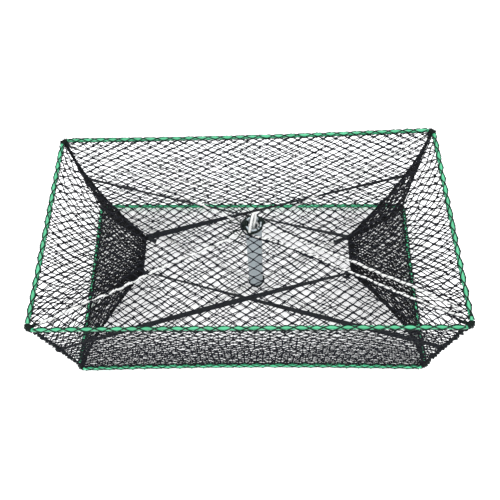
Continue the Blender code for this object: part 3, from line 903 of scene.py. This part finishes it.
def slit_path():
    """The centre of the rope that edges the slit and loops round the post."""
    runs = np.linspace(SLIT_END, 0.0, 150)

    def gap(run):
        return half_gap(run) * (1 if run < SLIT_TAPER else 1 - (run - SLIT_TAPER) / 0.048 * 0.55)

    stations = [(run, gap(run)) for run in runs]
    for k in range(1, 24):
        angle = pi * k / 24
        stations.append((-SLIT_LOOP * math.sin(angle), SLIT_LOOP * math.cos(angle)))
    stations += [(run, -gap(run)) for run in runs[::-1]]
    points = []
    for run, aside in stations:
        first = aside > 0
        sway = 0.0006 * math.sin(run / 0.013 + (2.0 if first else 0.3))
        sway *= min(max(run / 0.05, 0), 1)
        rise = 0.0010 * min(max((run - 0.02) / 0.03, 0), 1)
        rise *= math.sin(TURN * run / 0.0265 + (0.8 if first else 2.6))
        points.append(POST + ALONG * run + ACROSS * (aside + sway) + Z * (ZT + 0.0006 + rise))
    return np.array(points)


TOP_SHEET = level_surface(ZT - 0.0004, hang=0.0022, pull=0.0036)
BOTTOM_SHEET = level_surface(ZB - 0.0012, hang=0.0010)


def top_netting():
    build = Build()
    net(build, TOP_SHEET, COLUMNS, 50, seed=11, keep=clip_to_slit, twine=0.00078, knot=1.15,
        sides=4)
    build.piece("top_netting", "top_net", "top", NET)


def slit_edge_twine():
    """Each cut mesh is hitched to the slit rope, and one twine is wound along the rope."""
    build = Build()
    ends = np.array([end for end in slit_ends if (end - POST) @ ALONG > 0.004])
    turns = []
    for end in ends:
        tip = turned(Z, rng.uniform(-30, 30)) @ turned(ACROSS, rng.uniform(-20, 20))
        size = np.interp((end - POST) @ ALONG, [0.12, 0.17], [1.55, 0.95])
        slit_axes = np.stack([ALONG, np.cross(Z, ALONG), Z], -1)
        turns.append(tip @ slit_axes * rng.uniform(0.85, 1.2) * size)
    away = np.sign((ends - POST) @ ACROSS)[:, None] * ACROSS * 0.0021
    places = np.stack([ends[:, 0], ends[:, 1], np.full(len(ends), ZT + 0.0016)], -1) + away
    stamp(build, KNOT, np.array(turns), places)
    run, core = resample(slit_path(), 0.0009)
    way = unit(np.gradient(core, axis=0))
    flat = unit(np.cross(way, Z))
    upper = np.cross(flat, way)
    radial = around(TURN * run / 0.0092 + 0.5 * np.sin(run / 0.013), flat, upper)
    from_post = np.abs(run - run[-1] / 2)
    thin = np.interp(from_post, [0.10, 0.16], [0.00072, 0.00050])
    tube(build, core + 0.0023 * radial, thin, 6, radial)
    # and one runs beside it, on the side of the netting
    beside = core + flat * (0.0027 + 0.0004 * np.sin(run / 0.006))[:, None] + upper * 0.0011
    thick = np.interp(from_post, [0.12, 0.17], [0.00100, 0.00066])
    tube(build, beside[::3], thick[::3], 6, upper[::3])
    build.piece("slit_edge_twine", "top_net", "top", NET)


def bottom_netting():
    """The meshes beside the back rail are pulled longer than the others."""
    even, pulled = [-1, 0.75, 0.945, 1.0, 2.0], [-1, 0.75, 0.925, 1.0, 2.0]
    build = Build()
    net(build, lambda along, across: BOTTOM_SHEET(along, np.interp(across, even, pulled)),
        COLUMNS, ROWS, seed=12)
    build.piece("bottom_netting", "bottom_net", "base", NET)


top_netting()
slit_edge_twine()
bottom_netting()


def wall_surface(sign_y, draw):
    """An upright wall, drawn in by draw at its middle; a negative draw bellies out, higher up."""

    def surface(along, across):
        x = -HX + 0.0035 + (2 * HX - 0.0070) * along
        bow = draw * np.sin(pi * np.clip(across, 0, 1) ** (1.8 if draw < 0 else 1.0))
        bow = bow * (0.35 + 0.65 * np.sin(pi * np.clip(along, 0, 1)))
        z = ZB + 0.0025 + (ZT - ZB - 0.0050) * across
        return np.stack([x, sign_y * (HY - 0.0004 - bow), z], -1)

    return surface


for side, sign_y, net_seed, draw, twine in (
    ("front", -1, 13, -0.0037, 0.00066),
    ("back", 1, 14, 0.0040, 0.00080),
):
    build = Build()
    net(build, wall_surface(sign_y, draw), COLUMNS, WALL_ROWS, seed=net_seed, twine=twine,
        knot=1.12, wander=0.0005, drift=0.0018, sag=0.0003)
    stretches(build.piece(f"{side}_netting", f"{side}_net", None, NET))


# ---------------------------------------------------------------- funnels
LIP = 0.0028                    # half the height of a funnel's slit
# (side, front or back as the sign of y, upper or lower as the sign of z):
# how far the seam bows towards the mouth, twine radius, plies
SEAMS = {
    ("left", -1, 1): (0.007, 0.00075, 1), ("left", -1, -1): (0.006, 0.00115, 3),
    ("left", 1, 1): (0.010, 0.00105, 3), ("left", 1, -1): (0.007, 0.00125, 3),
    ("right", -1, 1): (0.010, 0.00075, 1), ("right", -1, -1): (0.017, 0.00115, 3),
    ("right", 1, 1): (0.009, 0.00080, 3), ("right", 1, -1): (0.008, 0.00125, 3),
}
# (side, sign of y): columns, rows, share of the meshes left at the slit, twine radius, knot size
GUSSETS = {
    ("left", -1): (12, 24, 0.72, 0.00074, 1.0), ("left", 1): (14, WALL_ROWS, 0.50, 0.00098, 1.22),
    ("right", -1): (12, 24, 0.72, 0.00074, 1.0), ("right", 1): (14, WALL_ROWS, 0.50, 0.00088, 1.0),
}


def bow_shape(share):
    return np.sin(pi * np.clip(share, 0, 1) ** 0.8)


def panel_surface(mouth_first, slit_first, mouth_last, slit_last, bulge, bows, slack=0.0):
    """A panel from the end opening (along 0) to the slit (along 1). bows are how far its two long
    edges stand out along x; slack lessens that between them."""
    corners = (mouth_first, slit_first, mouth_last, slit_last)
    mouth_first, slit_first, mouth_last, slit_last = (np.asarray(p, float) for p in corners)
    normal = unit(np.cross(slit_first - mouth_first, mouth_last - mouth_first))

    def surface(along, across):
        along = np.asarray(along, float)[..., None]
        across = np.asarray(across, float)[..., None]
        hump = np.sin(pi * np.clip(across, 0, 1))
        flat = (mouth_first * (1 - along) + slit_first * along) * (1 - across)
        flat = flat + (mouth_last * (1 - along) + slit_last * along) * across
        out = (bows[0] * (1 - across) + bows[1] * across) * (1 - slack * hump)
        bulged = normal * bulge * np.sin(pi * np.clip(along, 0, 1)) * hump
        return flat + X * out * bow_shape(along) + bulged

    return surface


def cut_to_shape(surface, left_over, gather):
    """The panel is cut from a wider sheet: only this share of the meshes is still there at its
    narrow end, where they are also gathered lengthwise. Gives the sheet and its cut."""

    def gathered(along):
        return 1 - np.maximum(1 - np.asarray(along, float), 0) ** gather

    def share(along, across):
        width = 1 - (1 - left_over) * gathered(np.clip(along, 0, 1))
        return 0.5 + (np.asarray(across, float) - 0.5) / width

    return (lambda along, across: surface(gathered(along), share(along, across))), share


def seam_cord(build, start, end, plies, radius, lay, rings, bow, out, wraps=0, seed=0):
    """A cord between two points, bowed towards bow and out along x, with knots along it."""
    start, end = np.asarray(start, float), np.asarray(end, float)
    share = np.linspace(0, 1, rings)
    way = unit(end - start)
    first = unit(np.cross(way, Z if abs(way[2]) < 0.9 else X))
    second = np.cross(way, first)
    line = start + (end - start) * share[:, None] + np.asarray(bow) * np.sin(pi * share)[:, None]
    line = line + X * (out * bow_shape(share))[:, None]
    length = share * np.linalg.norm(end - start)
    offset = radius * 1.1 if plies > 1 else 0.0
    for k in range(plies):
        radial = around(TURN * length / lay + TURN * k / plies, first, second)
        tube(build, line + offset * radial, radius, 6, radial)
    if wraps:
        local = np.random.default_rng(seed)
        places = (np.arange(wraps) + 0.5) / wraps + local.normal(0, 0.12 / wraps, wraps)
        spots = np.stack([np.interp(places, share, line[:, k]) for k in range(3)], -1)
        axes = np.stack([way, first, second], -1)
        turns = np.stack([
            axes @ turned(X, local.uniform(0, 360)) @ turned(Y, local.uniform(-20, 20))
            for _ in spots
        ])
        stamp(build, KNOT, turns * (radius / 0.00115) * 1.9, spots)


def funnel_panel(side, end, name, sign_z):
    """The upper or lower panel. The meshes of the upper one crowd towards the front."""
    slit_x, front, back = SLIT[side]
    mouth_x, mouth_y = end * (HX - 0.0022), HY - 0.0040
    mouth_z = ZT - 0.0020 if sign_z > 0 else ZB + 0.0020
    slit_z = ZM + sign_z * LIP
    flat = panel_surface(
        (mouth_x, -mouth_y, mouth_z), (slit_x + end * 0.001, front, slit_z),
        (mouth_x, mouth_y, mouth_z), (slit_x + end * 0.001, back, slit_z),
        bulge=0.0050 * end * sign_z,
        bows=[end * SEAMS[side, sign_y, sign_z][0] for sign_y in (-1, 1)], slack=0.45)
    crowd = 0.30 if sign_z > 0 else 0.0

    def crowded(along, across):
        return flat(along, across - crowd * across * (1 - across))

    sheet, cut = cut_to_shape(crowded, left_over=0.84, gather=1.45)
    build = Build()
    net(build, sheet, 22, ROWS + 6 if sign_z > 0 else ROWS, cut=cut,
        seed=30 + (end > 0) * 2 + (sign_z > 0), drift=0.0026, twine=0.00088)
    piece = f"{side}_funnel_{name}"
    folds(build.piece(f"{piece}_netting", piece, "base", FUNNEL_NET))


def funnel_gusset(side, end, name, sign_y):
    """The front or back gusset, with the seams that join it to the upper and lower panels."""
    slit_x, front, back = SLIT[side]
    slit_y = front if sign_y < 0 else back
    mouth = (end * (HX - 0.0022), sign_y * (HY - 0.0030))
    slit = (slit_x + end * 0.002, slit_y + sign_y * 0.0006)
    flat = panel_surface(
        (*mouth, ZB + 0.0030), (*slit, ZM - LIP), (*mouth, ZT - 0.0030), (*slit, ZM + LIP),
        bulge=0.0040 * sign_y,
        bows=[end * SEAMS[side, sign_y, sign_z][0] for sign_z in (-1, 1)])
    columns, rows, left_over, twine, knot = GUSSETS[side, sign_y]
    sheet, cut = cut_to_shape(flat, left_over, gather=1.0)
    build = Build()
    net(build, sheet, columns, rows, cut=cut, seed=40 + (end > 0) * 2 + (sign_y > 0),
        wander=0.0010, drift=0.0030, twine=twine, knot=knot, edge_knots=True)
    for sign_z in (1, -1):
        out, radius, plies = SEAMS[side, sign_y, sign_z]
        mouth_z = ZT - 0.0045 if sign_z > 0 else ZB + 0.0045
        if plies == 1:
            look = dict(lay=0.015, rings=60)
        else:
            look = dict(lay=0.017, rings=110, wraps=30, seed=50 + sign_z + sign_y)
        seam_cord(build, (end * (HX - 0.0045), sign_y * (HY - 0.0045), mouth_z),
                  (slit_x, slit_y, ZM + sign_z * LIP), plies, radius,
                  bow=(0, -sign_y * 0.0035, -sign_z * 0.003), out=end * out, **look)
    piece = f"{side}_funnel_{name}"
    folds(build.piece(f"{piece}_netting", piece, "base", FUNNEL_NET))


def funnel_rim(side):
    """Two cords twisted round the slit, with knots along them."""
    slit_x, front, back = SLIT[side]
    half, middle = (back - front) / 2 - LIP, (back + front) / 2
    path = []
    for sign in (1, -1):
        for k in range(12):
            angle = -sign * pi / 2 + pi * k / 11
            y = middle + sign * half + LIP * math.cos(angle)
            path.append((slit_x, y, ZM + LIP * math.sin(angle)))
        for k in range(1, 14):
            y = middle + sign * half - sign * 2 * half * k / 14
            path.append((slit_x, y, ZM + sign * LIP + 0.0003 * math.sin(k * 2.1)))
    path = np.array(path)
    build = Build()
    for k in range(2):
        angle = np.linspace(0, TURN * 16, len(path), endpoint=False) + k * pi
        tube(build, path + 0.0008 * around(angle, X, Z), 0.00105, 7, X, closed=True)
    places = np.linspace(0, len(path), 26, endpoint=False).astype(int)
    turns = [turned(Z, rng.uniform(0, 360)) @ turned(X, rng.uniform(60, 120)) for _ in places]
    stamp(build, KNOT, np.stack(turns) * 1.5, path[places])
    rim = f"{side}_funnel_rim"
    folds(build.piece(f"{rim}_cord", rim, "base", FUNNEL_RIM))


for side, end in (("left", -1), ("right", 1)):
    for name, sign_z in (("upper", 1), ("lower", -1)):
        funnel_panel(side, end, name, sign_z)
    for name, sign_y in (("front", -1), ("back", 1)):
        funnel_gusset(side, end, name, sign_y)
    funnel_rim(side)


# ---------------------------------------------------------------- tension straps
BAND_THICK = 0.0016
# half the outline of a band, with rounded edges and a shallow hollow along its middle:
# share of the half width, share of the thickness
HALF_BAND = np.array([
    (-1, 0.0), (-0.94, 0.36), (-0.80, 0.50), (-0.35, 0.42),
    (0, 0.38), (0.35, 0.42), (0.80, 0.50), (0.94, 0.36),
])
BAND = np.concatenate([HALF_BAND, -HALF_BAND])


def add_band(build, line, flat, deep, half_width, lengths=None):
    """A flat band along a line. Without lengths its lay coordinates are all zero."""
    rings, sides = len(line), len(BAND)
    half_width = np.broadcast_to(half_width, rings)
    verts = np.stack([
        line + flat * (half_width * wide)[:, None] + deep * (BAND_THICK * thick)
        for wide, thick in BAND
    ], 1)
    index = np.arange(rings * sides).reshape(rings, sides)
    outward = [0, 3, 2, 1]      # order of a quad's corners that faces it out of the band
    quads = ring_quads(index)[:, outward]
    lay = np.zeros((len(quads), 4, 2))
    if lengths is not None:
        share = BAND[:, 0] * 0.25 + 0.25
        lay = quad_lay(lengths[:-1, None], lengths[1:, None], share, np.roll(share, -1))
        lay = lay[:, outward]
    caps = np.stack([index[0][::-1], index[-1]])
    build.add(verts, [(quads, lay), (caps, np.zeros((2, sides, 2)))])


def strap(corner, side, lift, stations, cord_knot, tail, seed):
    """A flat band from a corner cord to the far funnel's slit. stations are (share of the way,
    share of the width that shows from the camera, width)."""
    sign_x, sign_y = CORNERS[corner]
    slit_x, front, back = SLIT[side]
    start = np.array([sign_x * (HX - INSET), sign_y * (HY - INSET), ZM])
    end = np.array([slit_x, front if sign_y < 0 else back, ZM])
    way = unit(end - start)
    start, end = start + way * 0.0030, end - way * 0.0015
    share = np.linspace(0, 1, 121)
    line = start + (end - start) * share[:, None] + Z * (lift * np.sin(pi * share))[:, None]
    at, shown, width = np.array(stations).T
    flat = unit(np.cross(Z, way))
    ray = unit(line - EYE)
    twist = np.arctan2(ray @ Z, ray @ flat) + np.arcsin(np.interp(share, at, shown))
    width = np.interp(share, at, width)
    for _ in range(30):
        for values in (twist, width):
            values[1:-1] = (values[:-2] + values[1:-1] + values[2:]) / 3
    band_flat = around(twist, flat, Z)
    build = Build()
    add_band(build, line, band_flat, np.cross(way, band_flat), width / 2,
             lengths=share * np.linalg.norm(end - start))
    # the band is knotted round the cord at one end and round the slit's corner at the other
    local = np.random.default_rng(seed)
    spots, turns = [], []
    for place, scatter, size in (
        (start - way * 0.0020, 0.0010, cord_knot), (end + way * 0.0010, 0.0008, 1.35),
    ):
        for _ in range(3):
            spots.append(place + local.normal(0, scatter, 3))
            turns.append(random_turn(local) * size)
    stamp(build, BIG_KNOT, np.array(turns), np.array(spots))
    # the cut end left over past the knot
    tail_way = unit(-way + np.array([0, -0.60, -0.10]))
    share = np.linspace(0, 1, 9)
    line = end + way * 0.001 + tail_way * (tail * share)[:, None]
    line = line + Z * (0.002 * np.sin(share * 3) - 0.002)[:, None]
    flat = unit(np.cross(Z, tail_way) + Z * 0.5)
    add_band(build, line, flat, np.cross(tail_way, flat), 0.0036)
    made = build.piece(f"{corner}_tension_strap", f"{corner}_strap", "base", RUBBER, sharp=70)
    folds(made)


strap("front_left", "right", lift=0.0060, cord_knot=1.75, tail=0.015, seed=61, stations=[
    (0, 0.35, 0.0086), (0.10, 0.45, 0.0088), (0.26, 0.80, 0.0090), (0.55, 0.95, 0.0092),
    (0.78, 0.70, 0.0088), (1, 0.35, 0.0080)])
strap("front_right", "left", lift=-0.0060, cord_knot=1.55, tail=0.012, seed=62, stations=[
    (0, 0.60, 0.0090), (0.10, 0.70, 0.0092), (0.26, 0.76, 0.0092), (0.45, 0.85, 0.0090),
    (0.62, 0.55, 0.0085), (0.8, 0.30, 0.0080), (1, 0.30, 0.0080)])
strap("back_left", "right", lift=-0.0030, cord_knot=1.35, tail=0.026, seed=63, stations=[
    (0, 0.45, 0.0085), (0.3, 0.30, 0.0082), (0.55, 0.22, 0.0082), (0.8, 0.30, 0.0086),
    (1, 0.60, 0.0090)])
strap("back_right", "left", lift=0.0045, cord_knot=1.35, tail=0.019, seed=64, stations=[
    (0, 0.50, 0.0085), (0.3, 0.40, 0.0084), (0.6, 0.34, 0.0084), (0.73, 0.70, 0.0090),
    (0.85, 0.90, 0.0098), (1, 1.0, 0.0104)])


# ---------------------------------------------------------------- white ropes
def laid_rope(build, path, radius, lay=0.0150):
    """Three strands laid together, as one closed body with the strands' true outline."""
    sides = 18
    run, path = resample(path, 0.00105)
    for _ in range(3):
        path[1:-1] = (path[:-2] + 2 * path[1:-1] + path[2:]) / 4
    strand = radius / 2.155
    offset = 1.155 * strand     # from the rope's centre to a strand's
    phase = (TURN * np.arange(sides) / sides)[None] - TURN * run[:, None] / lay
    angle = np.mod(phase + pi / 3, TURN / 3) - pi / 3
    outline = np.sqrt(np.maximum(strand**2 - (offset * np.sin(angle)) ** 2, 0))
    outline = np.maximum(offset * np.cos(angle) + outline, 0.50 * radius)
    tube(build, path, outline[None], sides, Z)


def weave_path(corner, level, short, height, rise, wave, seed):
    """From the post to short of a corner, over and under the netting at a height."""
    sign_x, sign_y = CORNERS[corner]
    post = np.array([POST[0], POST[1], level])
    end = np.array([sign_x * (HX - INSET), sign_y * (HY - INSET), level])
    end = end - unit(end - post) * short
    start = post + unit(end - post) * 0.0165
    local = np.random.default_rng(seed)
    length = np.linalg.norm(end - start)
    share = np.linspace(0, 1, int(length / 0.002) + 2)
    sideways = unit(np.cross(Z, end - start))
    phase = local.uniform(0, 6.28, 3)
    sway = np.sin(share * length / 0.047 + phase[0])
    sway = sway + 0.6 * np.sin(share * length / 0.021 + phase[1])
    sway = 0.0012 * sway * np.sin(pi * share)
    lift = height - level + rise * np.sin(TURN * share * length / wave + phase[2])
    line = start + (end - start) * share[:, None]
    return line + sideways * sway[:, None] + Z * lift[:, None]


# rise of the weave, rope radius and how far it lies under the others
for corner, rise, radius, under, rope_seed in (
    ("front_left", 0.0021, 0.0019, 0.0, 70),
    ("back_left", 0.0015, 0.0017, 0.0017, 71),
    ("back_right", 0.0015, 0.0017, 0.0017, 72),
):
    build = Build()
    path = weave_path(corner, ZT, 0.0090, 0.0, rise, 0.0208, rope_seed)
    along, across = (path[:, 0] + HX - EDGE_IN) / SHEET_X, (path[:, 1] + HY - EDGE_IN) / SHEET_Y
    path[:, 2] += TOP_SHEET(along, across)[:, 2] - 0.0007 - under
    laid_rope(build, path, radius)
    build.piece(f"top_{corner}_white_rope", f"top_{corner}_rope", "top", ROPE)
for k, corner in enumerate(CORNERS):
    build = Build()
    path = weave_path(corner, ZB, 0.0100, ZB - 0.0002, 0.0009, 0.0265, 80 + k)
    laid_rope(build, path, 0.0016)
    build.piece(f"bottom_{corner}_white_rope", f"bottom_{corner}_rope", "base", ROPE)

# both edges of the access slit, looped round the post
build = Build()
laid_rope(build, slit_path(), 0.0020)
build.piece("access_slit_rope", "slit_rope", "top", ROPE)


# ---------------------------------------------------------------- knots beside the post
def net_tie(side, knots, tails, seed):
    """Knots and cut twine ends. Places are from the post's axis at the top frame's height.
    knots are (x, y, z, size); tails are (place, way, length)."""
    local = np.random.default_rng(seed)
    centre = POST + Z * ZT
    knots = np.array(knots)
    build = Build()
    turns = random_turns(local, len(knots)) * knots[:, 3, None, None]
    stamp(build, BIG_KNOT, turns, centre + knots[:, :3])
    share = np.linspace(0, 1, 8)[:, None]
    for place, way, length in tails:
        way = unit(way)
        curl = np.cross(way, Z) * 0.004 * share**2 - Z * 0.003 * share**2
        path = centre + np.array(place) + way * share * length + curl
        tube(build, path, 0.00085, 6, np.cross(way, X + 0.1))
    build.piece(f"{side}_net_tie", f"{side}_net_knot", "top", TWINE)


net_tie("left", seed=91, knots=(
    (-0.0148, 0.0020, 0.0020, 1.3), (-0.0158, 0.0060, 0.0012, 1.15), (-0.0140, -0.0040, 0.0018, 1.1),
    (-0.0178, 0.0020, -0.0002, 1.0), (-0.0165, -0.0015, 0.0030, 0.9),
), tails=(
    ((-0.0160, 0.0040, 0.001), (-1, 0.5, 0.15), 0.014),
    ((-0.0150, -0.0030, 0.001), (-1, -0.6, 0.1), 0.016),
    ((-0.0150, -0.0050, 0.001), (-0.5, -1, 0.05), 0.026),
    ((-0.0190, 0.0000, 0.001), (-0.9, -0.9, 0.05), 0.030),
    ((-0.0190, 0.0040, 0.001), (-1, 0.1, 0.05), 0.022),
))
net_tie("right", seed=92, knots=(
    (0.0128, 0.0095, 0.0022, 1.4), (0.0155, 0.0070, 0.0015, 1.25), (0.0095, 0.0128, 0.0018, 1.1),
    (0.0175, 0.0100, 0.0000, 1.0), (0.0150, 0.0045, 0.0030, 1.1),
), tails=(
    ((0.0150, 0.0100, 0.001), (1, 0.3, 0.15), 0.013),
    ((0.0110, 0.0130, 0.001), (0.4, 1, 0.1), 0.012),
    ((0.0170, 0.0060, 0.001), (1, -0.2, 0.1), 0.015),
))


# ---------------------------------------------------------------- prop post
LEG = -1.98             # angle round the post of the cord loop's outer leg
TUCKED_END = -1.22      # angle round the post of the cord's other end


def prop_post():
    """A pipe with eased rims: a closed (radius, height) profile turned about an upright axis."""
    ease, sides = 0.0006, 56
    profile = [
        (POST_R - ease, Z_FOOT), (POST_R - 0.0002, Z_FOOT + 0.0003), (POST_R, Z_FOOT + ease),
    ]
    for k in range(1, 30):
        height = Z_FOOT + ease + (Z_HEAD - Z_FOOT - 2 * ease) * k / 30
        profile.append((POST_R + 0.00004 * math.sin(k * 1.7), height))
    profile += [
        (POST_R, Z_HEAD - ease), (POST_R - 0.0002, Z_HEAD - 0.0003), (POST_R - ease, Z_HEAD),
        (POST_BORE + ease, Z_HEAD), (POST_BORE, Z_HEAD - ease),
        (POST_BORE, Z_FOOT + ease), (POST_BORE + ease, Z_FOOT),
    ]
    radius, height = np.array(profile).T
    ways = around(TURN * np.arange(sides) / sides, X, Y)[:, None]
    verts = POST + radius[:, None] * ways + Z * height[:, None]
    quads = ring_quads(np.arange(sides * len(profile)).reshape(sides, -1), closed=True)
    build = Build()
    build.add(verts, [(quads, np.zeros((len(quads), 4, 2)))])
    build.piece("prop_post_pipe", "prop_post", "post", PIPE, sharp=40)


def post_binding(end, z, turns, slope, seed, knots, knot_size, ridge=0.0, lumps=(), rims=()):
    """Turns of twine pulled tight round the post, riding by ridge over the cord at LEG.
    knots are (angle, height above z), lumps are knots lying on the rim (angle, height above it,
    size), and rims are turns taken over the pipe's wall (angle, half height)."""
    thick = 0.00100
    local = np.random.default_rng(seed)
    build = Build()
    angle = np.linspace(0, TURN * turns, int(turns * 30))
    height = z + 1.85 * thick * angle / TURN + slope * np.sin(angle + 0.6)
    height = height + 0.0002 * np.sin(angle * 2.3)
    radius = POST_R + thick + ridge * peak(angle - LEG, TURN, 0.25)
    radial = around(angle, X, Y)
    tube(build, POST + radial * radius[:, None] + Z * height[:, None], thick, 7, radial)
    spots = np.array([
        POST + unit(heading(angle)) * (POST_R + 0.0010) + Z * (z + rise) for angle, rise in knots
    ])
    stamp(build, BIG_KNOT, random_turns(local, len(spots)) * knot_size, spots)
    for angle, rise, size in lumps:
        place = POST + heading(angle) * (POST_R - 0.0004) + Z * (Z_HEAD + rise)
        stamp(build, BIG_KNOT, random_turn(local) * size, place)
    for angle, tall in rims:
        out = heading(angle)
        turn = np.stack([out, Z, np.cross(out, Z)], -1) @ turned(X, local.uniform(-25, 25))
        place = POST + out * ((POST_R + POST_BORE) / 2) + Z * (Z_HEAD - tall + 0.0016)
        stamp(build, wrap(0.0026, tall, 0.0009, 14, 6, turn), np.eye(3), place)
    build.piece(f"post_{end}_twine", f"post_{end}_binding", "post", TWINE)


def curve_through(points, each=10):
    """A smooth path through the points."""
    points = np.asarray(points, float)
    points = np.concatenate(
        [[2 * points[0] - points[1]], points, [2 * points[-1] - points[-2]]])
    path = []
    for k in range(1, len(points) - 2):
        before, start, end, after = points[k - 1 : k + 3]
        for share in np.arange(each) / each:
            path.append(0.5 * (
                2 * start
                + (end - before) * share
                + (2 * before - 5 * start + 4 * end - after) * share**2
                + (3 * start - before - 3 * end + after) * share**3))
    path.append(points[-2])
    return np.array(path)


def head_cord():
    """The loop of white cord standing out of the post's head, and the rest of that cord."""
    # outer leg: distance out from the pipe's face, height from the head
    leg = ((0.0021, -0.0185), (0.0021, -0.0120), (0.0020, -0.0060), (0.0018, -0.0010))
    # the loop: x and y from the post's axis, height from the head
    loop = (
        (-0.0044, -0.0098, 0.0042), (-0.0026, -0.0022, 0.0112), (-0.0004, 0.0050, 0.0158),
        (0.0018, 0.0084, 0.0168), (0.0034, 0.0066, 0.0146), (0.0026, 0.0014, 0.0078),
        (0.0008, -0.0026, 0.0008), (0.0002, -0.0038, -0.0070), (0.0000, -0.0038, -0.0160),
    )
    points = [POST + heading(LEG) * (POST_R + out) + Z * (Z_HEAD + rise) for out, rise in leg]
    points += [POST + np.array([x, y, Z_HEAD + rise]) for x, y, rise in loop]
    build = Build()
    laid_rope(build, curve_through(points), 0.0021, lay=0.0120)
    # coiled in the mouth of the pipe
    angle = np.linspace(-1.2, 1.9 * pi, 60)
    x, y, z = 0.0074 * np.cos(angle), 0.0074 * np.sin(angle), Z_HEAD - 0.0085 - 0.0007 * angle
    laid_rope(build, POST + np.stack([x, y, z], -1), 0.0018, lay=0.0120)
    # the other end, tucked under the twine beside the outer leg
    face = POST + heading(TUCKED_END) * (POST_R + 0.0012)
    drops = (0.0030, 0.0060, 0.0090, 0.0120)
    tucked = curve_through([face + Z * (Z_HEAD - drop) for drop in drops])
    laid_rope(build, tucked, 0.0016, lay=0.0110)
    build.piece("post_head_cord_loop", "post_head_loop", "post", ROPE)


prop_post()
post_binding(
    "head", ZT + 0.0034, turns=3.6, slope=0.0012, seed=95, knot_size=1.05, ridge=0.0041,
    knots=((-0.55, 0.003), (-0.1, 0.006), (2.7, 0.004), (3.2, 0.006)),
    rims=((-1.05, 0.0042), (-0.62, 0.0048), (0.25, 0.0040), (0.55, 0.0044), (1.9, 0.0040),
          (2.75, 0.0046), (3.05, 0.0050), (3.40, 0.0044)),
    lumps=((0.42, 0.0004, 1.15), (0.75, 0.0012, 1.0), (3.25, 0.0004, 1.2), (2.95, 0.0014, 1.0)))
post_binding(
    "foot", Z_FOOT + 0.0030, turns=3.2, slope=0.0006, seed=96, knot_size=1.25,
    knots=((-0.30, 0.005), (0.05, 0.007), (-0.12, 0.011), (0.30, 0.009)))
head_cord()


# ---------------------------------------------------------------- floor, light and camera
def floor():
    """A wide pale floor that glows a little."""
    half, z = 6.0, -0.0008
    mesh = bpy.data.meshes.new("studio_floor")
    corners = [(-half, -half, z), (half, -half, z), (half, half, z), (-half, half, z)]
    mesh.from_pydata(corners, [], [(0, 1, 2, 3)])
    made = bpy.data.objects.new("studio_floor", mesh)
    shader = Shader("studio_floor_mat")
    cloud = shader.noise(3.0, detail=2.0, rough=0.5)
    shader.surface({
        "Base Color": shader.ramp(cloud, (0.3, (0.90, 0.90, 0.905)), (0.7, (0.925, 0.925, 0.93))),
        "Emission Color": (1, 1, 1, 1),
        "Emission Strength": 0.32,
        "Roughness": 0.9,
        "Specular IOR Level": 0.1,
    })
    mesh.materials.append(shader.mat)
    bpy.context.scene.collection.objects.link(made)


def studio_world():
    world = bpy.data.worlds.new("studio")
    world.use_nodes = True
    background = world.node_tree.nodes["Background"]
    background.inputs["Color"].default_value = (0.97, 0.985, 1.0, 1.0)
    background.inputs["Strength"].default_value = 1.05
    bpy.context.scene.world = world


def area_light(name, place, size, power):
    """A rectangular light aimed at the middle of the trap."""
    light = bpy.data.lights.new(name, "AREA")
    light.shape = "RECTANGLE"
    light.size, light.size_y = size
    light.energy = power
    light.color = (1, 1, 1)
    made = bpy.data.objects.new(name, light)
    made.location = place
    way = Vector((0, 0, 0.1)) - Vector(place)
    made.rotation_euler = way.to_track_quat("-Z", "Y").to_euler()
    bpy.context.scene.collection.objects.link(made)


def camera():
    lens = bpy.data.cameras.new("camera")
    lens.sensor_width = 36.0
    lens.lens = 39.31
    lens.clip_start = 0.01
    made = bpy.data.objects.new("camera", lens)
    made.location = tuple(EYE)
    made.rotation_euler = [math.radians(degrees) for degrees in (25.67, 1.70, 0.14)]
    bpy.context.scene.collection.objects.link(made)
    bpy.context.scene.camera = made


floor()
studio_world()
area_light("overhead_soft", place=(0.3, 0.5, 2.2), size=(2.4, 2.0), power=42)
area_light("front_soft", place=(-0.9, -1.7, 1.5), size=(1.6, 1.2), power=20)
camera()
bpy.context.scene.view_settings.view_transform = "Standard"

bpy.context.view_layer.update()
